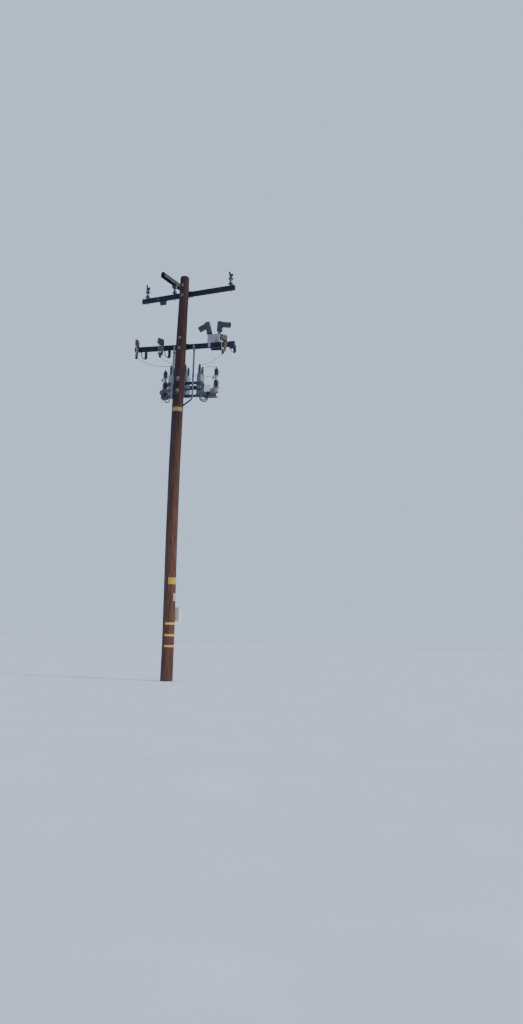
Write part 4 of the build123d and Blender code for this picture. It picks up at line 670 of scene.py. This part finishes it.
def sleeve(name, middle):
    """Ribbed sleeve over most of a cable, along its middle line."""
    travelled = [0.0]
    for a, b in zip(middle, middle[1:]):
        travelled.append(travelled[-1] + (a - b).length)
    spots = []
    for step in range(int((travelled[-1] - 2 * SLEEVE_START) / SLEEVE_STEP) + 1):
        here = SLEEVE_START + SLEEVE_STEP * step
        k = next(i for i in range(1, len(travelled)) if travelled[i] >= here)
        share = (here - travelled[k - 1]) / (travelled[k] - travelled[k - 1])
        spots.append((middle[k - 1].lerp(middle[k], share), SLEEVE_VALLEY if step % 3 else SLEEVE_RIDGE))
    skin = Shape()
    skin.tube(spots)
    return skin.make(name + "_sleeve", "pole_body", "cable_black")


def cord(name, points, diameter, sleeved=False):
    """Round cable on part.py's own points, in place of its CAD solid."""
    data = bpy.data.curves.new(name, "CURVE")
    data.dimensions = "3D"
    data.resolution_u = 8
    spline = data.splines.new("NURBS")
    spline.points.add(len(points) - 1)
    for point, place in zip(spline.points, points):
        point.co = (*place, 1)
    spline.order_u = 3
    spline.use_endpoint_u = True
    line = bpy.data.objects.new(name + "_line", data)
    scene.collection.objects.link(line)
    bare = bpy.data.meshes.new_from_object(line.evaluated_get(bpy.context.evaluated_depsgraph_get()))
    middle = [v.co.copy() for v in bare.vertices]
    bpy.data.meshes.remove(bare)
    line.name = name + "_cord"
    data.bevel_depth = diameter / 2
    data.bevel_resolution = 3
    data.use_fill_caps = True
    data.materials.append(SLOTS["cable_black"])
    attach(line, "pole_body")
    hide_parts(name)
    [sleeve(name, middle)] if sleeved else ()


LEAD_FOOT = ARRESTER + 0.024
lead_ends = [((x - 0.150, y, HEAD_Z), (x - 0.010, y, z - LEAD_FOOT), 0.036) for x, y, z in HEADS[:2]]
x, y, z = HEADS[2]
lead_ends.append(((x - 0.098, ARM_BACK - 0.011, HEAD_Z - 0.040),
                  (x - 0.010, y - 0.010, z - LEAD_FOOT), 0.016))
for number, (start, foot, straight) in enumerate(lead_ends, 1):
    cord("arrester_lead_%d" % number, lead_route(start, foot, straight), 0.020 if number == 3 else 0.028)
for number, tank in enumerate(TANKS):
    start = at_cutout(number, 0, BALL_OUT, BALL_LOW)
    cord("jumper_%d" % (number + 1), hanging(start, (tank, TANK_Y[0], CAP_WIRE), 0.095, 9), 0.012)
cord("switch_jumper_1", hanging((TANKS[2], TANK_Y[1], CAP_WIRE),
                                (SWITCHES[1], SWITCH_Y, NECK + 0.390), -0.030, 5), 0.012)
cord("switch_jumper_2", hanging((TANKS[2] + 0.044, TANK_Y[1] - 0.084, TANK_TOP + 0.022),
                                (SWITCHES[1] - 0.098, SWITCH_Y, NECK + 0.108), 0.020, 5), 0.012)
(gx, gy), (hx, hy) = GLANDS
front = RACK[2]
sx = SWITCHES[0]
for number, (route, end) in enumerate((
    (((gx, gy, BOX_LOW), (gx + 0.004, gy - 0.002, 8.080), (gx + 0.008, gy - 0.008, 8.000),
      (gx + 0.004, gy - 0.016, 7.930), (gx - 0.026, gy - 0.022, 7.878),
      (gx - 0.080, gy - 0.026, 7.858), (gx - 0.140, gy - 0.028, 7.874),
      (gx - 0.196, gy - 0.030, 7.910), (gx - 0.236, gy - 0.032, 7.954),
      (gx - 0.240, gy - 0.033, FOOT_LOW)), "object"),
    (((hx, hy, BOX_LOW), (hx + 0.003, hy - 0.002, 8.082), (hx + 0.006, hy - 0.010, 8.012),
      (hx - 0.002, hy - 0.020, 7.954), (hx - 0.034, hy - 0.028, 7.916),
      (hx - 0.082, hy - 0.034, 7.910), (hx - 0.130, hy - 0.040, 7.934),
      (hx - 0.164, hy - 0.048, 7.966), (hx - 0.172, hy - 0.052, FOOT_LOW)), "object"),
    (((-0.556, front + 0.010, FOOT_LOW), (-0.554, front + 0.010, 7.965), (-0.545, front + 0.009, 7.912),
      (-0.518, front + 0.008, 7.885), (-0.480, front + 0.008, 7.875), (-0.442, front + 0.008, 7.885),
      (-0.415, front + 0.009, 7.912), (-0.406, front + 0.010, 7.965),
      (-0.404, front + 0.010, FOOT_LOW)), "object"),
    (((sx - 0.044, SWITCH_Y - 0.060, 8.040), (sx - 0.045, SWITCH_Y - 0.062, 7.996),
      (sx - 0.042, SWITCH_Y - 0.066, 7.944), (sx - 0.043, SWITCH_Y - 0.068, 7.890)), "bare"),
), 1):
    cord("control_cable_%d" % number, [Vector(p) for p in route], 0.018, number < 4)


# Directions of the frame
X, Y, Z = Vector((1, 0, 0)), Vector((0, 1, 0)), Vector((0, 0, 1))

# nails that hold the plates, strips and bands on the trunk
nails = Shape()
for middles, gap, spots in (
    ([z + side * STRIP_NAIL for z in STRIPS for side in (-1, 1)], 0.0018, (-104, -70, -35, 0, 35, 59)),
    ((PLATE[0] + 0.012, PLATE[1] - 0.012), 0.0023, (-84, -60, -36, -12, 11)),
    ((TAG[0] + 0.012, TAG[1] - 0.012), 0.0023, (-29, 21)),
    ((BAND[0] + 0.010, BAND[1] - 0.010), 0.0023, (-127, -100, -72, -44, -17)),
):
    for height in middles:
        radius, middle = trunk(height)
        for spot in spots:
            out = Vector((math.cos(math.radians(spot)), math.sin(math.radians(spot)), 0))
            nails.nail(Vector((middle, 0, height)) + out * (radius + gap), out)
nails.make("plate_nails", "pole_body", "galvanised")

# arms: bolts of the cutouts, arresters, transformer, strap and brackets
arm_bolts = Shape()
for x, _ in CUTOUTS:
    for height in (-0.028, 0.028):
        arm_bolts.bolt((x, ARM_FRONT - 0.010, EQUIP_Z + height), -Y, 0.011, stud=0.018)
        arm_bolts.bolt((x, ARM_BACK, EQUIP_Z + height), Y, 0.011, stud=0.016)
for x, y, z in HEADS[:2]:
    arm_bolts.bolt((x, y, EQUIP_Z + ARM_HALF), Z, 0.011, stud=0.02)
    arm_bolts.bolt((x - 0.150, y, EQUIP_Z + ARM_HALF), Z, 0.010, stud=0.018)
for x in (0.285, 0.331):
    arm_bolts.bolt((x, ARM_FRONT - 0.006, EQUIP_Z + 0.034), -Y, 0.008)
    arm_bolts.bolt((x, ARM_FRONT - 0.006, EQUIP_Z - 0.050), -Y, 0.008)
tx, ty, tz, tw, td, th = TRANSFORMER
for x in (tx - 0.040, tx + 0.160):
    arm_bolts.bolt((x, ARM_BACK + 0.014, EQUIP_Z - ARM_HALF - 0.034), -Z, 0.012, stud=0.022)
for x in (tx - 0.020, tx + 0.180):
    arm_bolts.bolt((x, ARM_FRONT, EQUIP_Z - ARM_HALF - 0.036), -Y, 0.010)
for share in (0.25, 0.75):
    spot = on_line_arm(-1.012 + 0.092 * share, ARM_FRONT - 0.008, LINE_Z)
    arm_bolts.bolt(spot + Z * 0.034, on_line_arm(0, -1, 0), 0.008)
    arm_bolts.bolt(spot - Z * 0.034, on_line_arm(0, -1, 0), 0.008)
for height in (LINE_Z + 0.048, LINE_Z - 0.048):
    for along in (-0.125, 0.125):
        arm_bolts.bolt(on_line_arm(along, ARM_BACK + 0.006, height), on_line_arm(0, 1, 0), 0.009)
for height in (EQUIP_Z + 0.048, EQUIP_Z - 0.048):
    for along in (-0.145, 0.105):
        arm_bolts.bolt((along, ARM_BACK + 0.006, height), Y, 0.009)
arm_bolts.make("arm_fixings", "pole_body", "galvanised")

# cutouts: collar bolts, hinge nuts and a spring
fittings = Shape()
for number in range(3):
    across = at_cutout(number, 1, 0, 0) - at_cutout(number, 0, 0, 0)
    out = at_cutout(number, 0, 1, 0) - at_cutout(number, 0, 0, 0)
    for side in (-1, 1):
        fittings.bolt(at_cutout(number, side * 0.043, 0.070, 0), across * side, 0.010)
        fittings.bolt(at_cutout(number, side * 0.028, 0.100, -0.244), across * side, 0.008)
        fittings.bolt(at_cutout(number, side * 0.034, HINGE_OUT, HINGE_LOW), across * side, 0.009)
        fittings.bolt(at_cutout(number, side * 0.012, BALL_OUT, -0.262), across * side, 0.007)
    fittings.bolt(at_cutout(number, 0, 0.024, 0.016), Z, 0.012)
    fittings.bolt(at_cutout(number, 0, 0.024, -0.016), -Z, 0.012)
    coil = [at_cutout(number, 0.009 * math.cos(a), 0.205 + 0.009 * math.sin(a), 0.186)
            + Z * (0.006 * k / 40) for k, a in ((k, 2 * math.pi * k / 10) for k in range(11))]
    fittings.wire(coil, 0.0015, 6)
fittings.make("cutout_fittings", "pole_body", "bronze")

# arresters: clamp rings and the studs' nuts
rings = Shape()
for x, y, z in HEADS:
    rings.lathe(((0.0345, 0), (0.036, 0.001), (0.036, 0.007), (0.0345, 0.008)), (x, y, z - 0.012), Z, 24)
    rings.bolt((x, y, z), Z, 0.017, washer=False)
    foot = (x, y, z - ARRESTER - 0.020)
    rings.lathe(((0.0225, 0), (0.0245, 0.002), (0.0245, 0.010), (0.0225, 0.012)), foot, Z, 20)
rings.make("arrester_fittings", "pole_body", "galvanised")

# transformer: lid bolts, lifting eyes, a drain plug and the terminal box's screws
parts = Shape()
for side in (-1, 1):
    for share in (-0.8, 0, 0.8):
        parts.bolt((tx + share * tw / 2, ty + td / 2 + side * (td / 2 - 0.016), tz + th), Z, 0.008)
    spot = Vector((tx + side * (tw / 2 + 0.004), ty + td / 2, tz + th - 0.050))
    parts.slab(spot, (0.012, 0.050, 0.034), edge=0.003)
    parts.wire([spot + Vector((side * 0.010, 0.018 * math.cos(a), 0.018 * math.sin(a) + 0.004))
                for a in (2 * math.pi * k / 14 for k in range(14))], 0.004, 8, True)
parts.lathe(((0.016, 0), (0.016, 0.010), (0.010, 0.016)), (tx + 0.06, ty + td, tz + 0.040), Y, 8)
for dx in (-0.110, -0.020):
    for dz in (0.038, th - 0.044):
        parts.bolt((tx + tw / 2 + dx, ty - 0.030, tz + dz), -Y, 0.005)
for dz in (-0.026, 0.034):
    parts.bolt((tx - tw / 2 + 0.052, ty - 0.006, EQUIP_Z + dz), -Y, 0.009)
    parts.bolt((tx - tw / 2 + 0.090, ty - 0.006, EQUIP_Z + dz), -Y, 0.009)
parts.make("transformer_fittings", "pole_body", "galvanised")

# rack: bolts through the rails' ends, the ears and the uprights
rack = Shape()
left, right, front, back = RACK
for x in (left + 0.030, right - 0.030):
    for z in (TOP_RAIL - RAIL_BOLT, TOP_RAIL + RAIL_BOLT):
        rack.bolt((x, front, z), -Y, 0.009)
        rack.bolt((x, back, z), Y, 0.009)
    rack.bolt((x, front, FOOT_RAIL), -Y, 0.009)
for x, side in ((left - 0.006, -1), (right + 0.006, 1)):
    for y in (SWITCH_Y - 0.016, SWITCH_Y + 0.016):
        rack.bolt((x, y, 8.450), X * side, 0.008)
for x in TANKS:
    for dx in (-0.014, 0.014):
        rack.bolt((x + dx, front + 0.013, 8.482), Z, 0.007)
        rack.bolt((x + dx, back - 0.013, 8.482), Z, 0.007)
for x in (-0.110, 0.010):
    for z in (FOOT_RAIL - 0.028, FOOT_RAIL + 0.028, MIDDLE_RAIL, TOP_RAIL - 0.028, TOP_RAIL + 0.028):
        rack.bolt((x, front, z), -Y, 0.008)
for x in SWITCHES:
    for dx in (-0.055, 0.055):
        for dy in (-0.055, 0.055):
            rack.bolt((x + dx, SWITCH_Y + dy, 8.0480), Z, 0.008)
rack.make("rack_fixings", "pole_body", "galvanised")

# tanks: bare plates with rivets, lifting holes' rims, and nuts on the bushings' caps
plates = Shape()
nuts = Shape()
for x in TANKS:
    y = SWITCH_Y - TANK_DEEP / 2
    plates.slab((x, y - 0.0006, 8.585), (0.074, 0.0016, 0.048), edge=0.0005)
    for dx in (-0.032, 0.032):
        for dz in (-0.019, 0.019):
            nuts.nail((x + dx, y - 0.0014, 8.585 + dz), -Y, 0.003)
    for side in (-1, 1):
        for dy in (-0.12, 0.12):
            plates.slab((x + side * 0.0690, SWITCH_Y + dy, 8.660), (0.006, 0.036, 0.030), edge=0.002)
    for y in TANK_Y:
        nuts.bolt((x, y, CAP_NUT), Z, 0.013, stud=0.024)
        nuts.lathe(((0.052, 0), (0.054, 0.002), (0.054, 0.007), (0.040, 0.010)), (x, y, TANK_TOP), Z, 28)
plates.make("tank_plates", "pole_body", "grey_paint")
nuts.make("tank_nuts", "pole_body", "galvanised")

# switches: flange bolts, drum bolts and a pull ring, and the necks' bands
switch = Shape()
for x in SWITCHES:
    for z, axis in ((NECK + 0.018, Z), (NECK + 0.132, -Z)):
        for k in range(6):
            a = math.pi / 3 * k + 0.3
            switch.bolt((x + 0.049 * math.cos(a), SWITCH_Y + 0.049 * math.sin(a), z), axis, 0.006)
    drum = Vector((x - 0.024, SWITCH_Y - 0.098 - 0.060, 8.206))
    for k in range(8):
        a = math.pi / 4 * k + 0.2
        switch.bolt(drum + Vector((0.062 * math.cos(a), 0, 0.062 * math.sin(a))), -Y, 0.006)
    switch.lathe(((0.026, 0), (0.026, 0.014), (0.020, 0.020)), drum - Y * 0.006, -Y, 18)
    switch.slab(drum + Vector((0.0, -0.032, -0.036)), (0.016, 0.008, 0.090), edge=0.002)
    switch.wire([drum + Vector((0.018 * math.cos(a), -0.034, -0.098 + 0.018 * math.sin(a)))
                 for a in (2 * math.pi * k / 16 for k in range(16))], 0.0035, 8, True)
    for dx in (-0.045, 0.045):
        switch.bolt((x + dx, SWITCH_Y - 0.066, 8.286), -Y, 0.007)
    switch.lathe(((0.088, 0), (0.0895, 0.002), (0.0895, 0.010), (0.086, 0.012)), (x, SWITCH_Y, 8.316), Z, 36)
    lug = Vector((x - 0.092, SWITCH_Y - 0.012, NECK + 0.070))
    switch.bolt(lug + Z * 0.020, -Y, 0.008)
    switch.bolt(lug - Z * 0.010, -Y, 0.008)
switch.make("switch_fittings", "pole_body", "galvanised")

# junction box: lid screws, hinge and latch
lid = Shape()
for x in (0.642, 0.798):
    for z in (8.184, 8.348):
        lid.bolt((x, 0.278, z), -Y, 0.006)
lid.slab((0.720, 0.2765, 8.266), (0.150, 0.004, 0.160), edge=0.0015)
lid.slab((0.786, 0.272, 8.266), (0.014, 0.010, 0.040), edge=0.002)
for x, y in GLANDS:
    lid.lathe(((0.017, 0), (0.019, 0.002), (0.019, 0.010), (0.016, 0.012)), (x, y, BOX_LOW + 0.004), Z, 8)
lid.make("junction_box_lid", "pole_body", "grey_paint")

# cabinet: door screws, side screws, padlock and conduit nut
door = Shape()
for x in (-0.140, 0.022, 0.184):
    for z in (1.640, 1.936):
        door.bolt((x, 0.392, z), Y, 0.006)
door.lathe(((0.036, 0), (0.038, 0.002), (0.038, 0.012), (0.034, 0.014)), (-0.040, 0.278, 1.982), Z, 8)
for x in (-0.172, 0.216):
    for z in (1.66, 1.92):
        door.bolt((x, 0.300, z), X if x > 0 else -X, 0.006)
door.wire([(0.179 + 0.010 * math.cos(a), 0.405, 1.774 + 0.014 * math.sin(a))
           for a in (math.pi * k / 8 for k in range(9))], 0.003)
door.slab((0.179, 0.405, 1.762), (0.030, 0.014, 0.026), edge=0.003)
door.make("cabinet_fittings", "pole_body", "galvanised")

# cover over the middle wire: a weathered lip along both edges, push pins and joint ribs
along = Vector((math.sin(COVER_TURN), math.cos(COVER_TURN), 0))
across = Z.cross(along)
axes = (along, across, Z)
middle = on_line_arm(COVER_ALONG, ARM_OUT, COVER_Z)
lip = Shape()
pins = Shape()
ribs = Shape()
for side in (-1, 1):
    for end in (-1, 1):
        spot = middle + across * side * 0.0700 + along * end * 0.368 + Z * (-0.0042)
        lip.slab(spot, (0.535, 0.0118, 0.008), axes, 0.0012)
    for step in (-0.58, -0.42, -0.26, 0.26, 0.42, 0.58):
        spot = middle + across * side * 0.0615 + along * step + Z * 0.024
        pins.lathe(((0.010, 0), (0.010, 0.003), (0.005, 0.006)), spot, across * side, 12)
for step in (-0.634, -0.30, 0.30, 0.634):
    ribs.slab(middle + along * step + Z * 0.1372, (0.010, 0.060, 0.004), axes, 0.001)
    for side in (-1, 1):
        spot = middle + along * step + across * side * 0.0632 + Z * 0.054
        ribs.slab(spot, (0.010, 0.003, 0.090), axes, 0.001)
lip.make("cover_lip", "pole_body", "tan_sheet")
pins.make("cover_pins", "pole_body", "tan_sheet")
ribs.make("cover_ribs", "pole_body", "black_cover")

# seams and push pins of the two elbow covers
PUSH_PIN = ((0.009, 0), (0.009, 0.003), (0.004, 0.005))
seams = Shape()
buttons = Shape()
for x, tilt, start, corner, length, droop, side, reach in (
    (tx - 0.137, -14, 0.040, 0.336, 0.410, 28, -1, 0.290), (tx + 0.139, 3, 0.118, 0.316, 0.392, 7, 1, 0.306)):
    lean = Vector((math.sin(math.radians(tilt)), 0, math.cos(math.radians(tilt))))
    run = Vector((side * math.cos(math.radians(droop)), 0, -math.sin(math.radians(droop))))
    base = Vector((x, ty + td / 2, tz + th + 0.010))
    bend = base + lean * corner
    flat, upper = lean.cross(Y), run.cross(Y)
    outer = -side
    seams.slab(base + lean * (start + length) / 2 + flat * (-0.0735 if flat.x * outer < 0 else 0.0735),
               (length - start - 0.02, 0.006, 0.010), (lean, Y, flat), 0.0012)
    up = upper if upper.z > 0 else -upper
    spot = bend + run * (reach * 0.56) + up * 0.0705
    seams.slab(spot, (reach * 0.82, 0.006, 0.010), (run, Y, upper), 0.0012)
    for share in (0.25, 0.55, 0.85):
        buttons.lathe(PUSH_PIN, bend + run * reach * share - Y * 0.0693 + up * 0.045, -Y, 12)
        spot = base + lean * (start + (corner - start) * share)
        buttons.lathe(PUSH_PIN, spot - Y * 0.0713 + flat * 0.04, -Y, 12)
seams.make("elbow_seams", "pole_body", "black_cover")
buttons.make("elbow_pins", "pole_body", "grey_conduit")

# clamps on the line insulators: keeper bolts and eye nuts
keepers = Shape()
for spot, turn in CLAMPS:
    base = on_line_arm(spot, ARM_OUT, CLAMP_Z)
    side = Vector((math.cos(math.radians(turn)), math.sin(math.radians(turn)), 0))
    line = Z.cross(side)
    for end in (-1, 1):
        keepers.bolt(base + line * end * 0.046 + Z * 0.074, Z, 0.009, stud=0.018)
        keepers.bolt(base + line * end * 0.064 + Z * 0.052, line * end, 0.010)
    keepers.lathe(((0.036, 0), (0.040, 0.003), (0.040, 0.010), (0.034, 0.013)), base + Z * 0.001, Z, 24)
keepers.make("clamp_bolts", "pole_body", "dark_steel")

# conduit: couplings' rims, clip screws and the riser's cap
pipes = Shape()
for height, x, y in ((8.600, 0.308, ARM_OUT), (6.600, -0.040, 0.206), (3.600, -0.040, 0.206)):
    for z in (height + 0.004, height + 0.060):
        pipes.lathe(((0.0332, 0), (0.0345, 0.001), (0.0345, 0.005), (0.0332, 0.006)), (x, y, z), Z, 24)
RISER_LOW, RISER_TOP = 7.870, 9.430
for height in (8.150, 8.700, 9.250):
    share = (height - RISER_LOW) / (RISER_TOP - RISER_LOW)
    x, y = -0.226 + 0.020 * share, -0.062 + 0.010 * share
    pipes.bolt((x - 0.012, y - 0.034, height), -Y, 0.006)
    pipes.bolt((x + 0.030, y - 0.034, height), -Y, 0.006)
pipes.lathe(((0.0285, 0), (0.031, 0.002), (0.031, 0.022), (0.020, 0.028)), (-0.206, -0.052, RISER_TOP), Z, 24)
pipes.make("pipe_fittings", "pole_body", "galvanised")

# fuse tubes: ferrules and end caps that swing with the tubes
for number in range(3):
    tube = Shape()
    base = at_cutout(number, 0, HINGE_OUT, HINGE_LOW)
    out = at_cutout(number, 0, 1, 0) - at_cutout(number, 0, 0, 0)
    lean = Z * math.cos(TUBE_LEAN) + out * math.sin(TUBE_LEAN)
    for low, high in ((0.046, 0.070), (0.352, 0.376)):
        profile = ((0.0135, low), (0.0150, low + 0.002), (0.0150, high - 0.002), (0.0135, high))
        tube.lathe(profile, base, lean, 20)
    tube.lathe(((0.012, 0.4195), (0.0145, 0.421), (0.0145, 0.430), (0.009, 0.436)), base, lean, 8)
    tube.make("fuse_tube_ferrules_%d" % (number + 1), "tube_%d" % (number + 1), "bronze")


def add_stage():
    mesh = bpy.data.meshes.new("floor")
    reach, sunk = 60, -0.002
    corners = [(x * reach, y * reach, sunk) for x, y in ((-1, -1), (1, -1), (1, 1), (-1, 1))]
    mesh.from_pydata(corners, [], [(0, 1, 2, 3)])
    floor = bpy.data.objects.new("floor", mesh)
    scene.collection.objects.link(floor)
    p = Paint("floor_pale", 0.9)
    cloud = p.noise((0.8, 0.8, 0.8), 4)
    mesh.materials.append(p.done(p.ramp(cloud, (0.3, (0.70, 0.70, 0.71)), (0.7, (0.76, 0.76, 0.77)))))


add_stage()

# Light: an even pale blue sky and a soft sun from the right
SKY = (0.60, 0.745, 0.98, 1)
SUN_POWER, SUN_WIDTH, SUN_TURN = 1.7, 0.3, (math.radians(55), 0, math.radians(92))
world = bpy.data.worlds.new("world")
scene.world = world
world.use_nodes = True
world.node_tree.nodes["Background"].inputs["Color"].default_value = SKY
world.node_tree.nodes["Background"].inputs["Strength"].default_value = 1.0
sun = bpy.data.lights.new("sun", "SUN")
sun.energy = SUN_POWER
sun.angle = SUN_WIDTH
lamp = bpy.data.objects.new("sun", sun)
lamp.rotation_euler = SUN_TURN
scene.collection.objects.link(lamp)
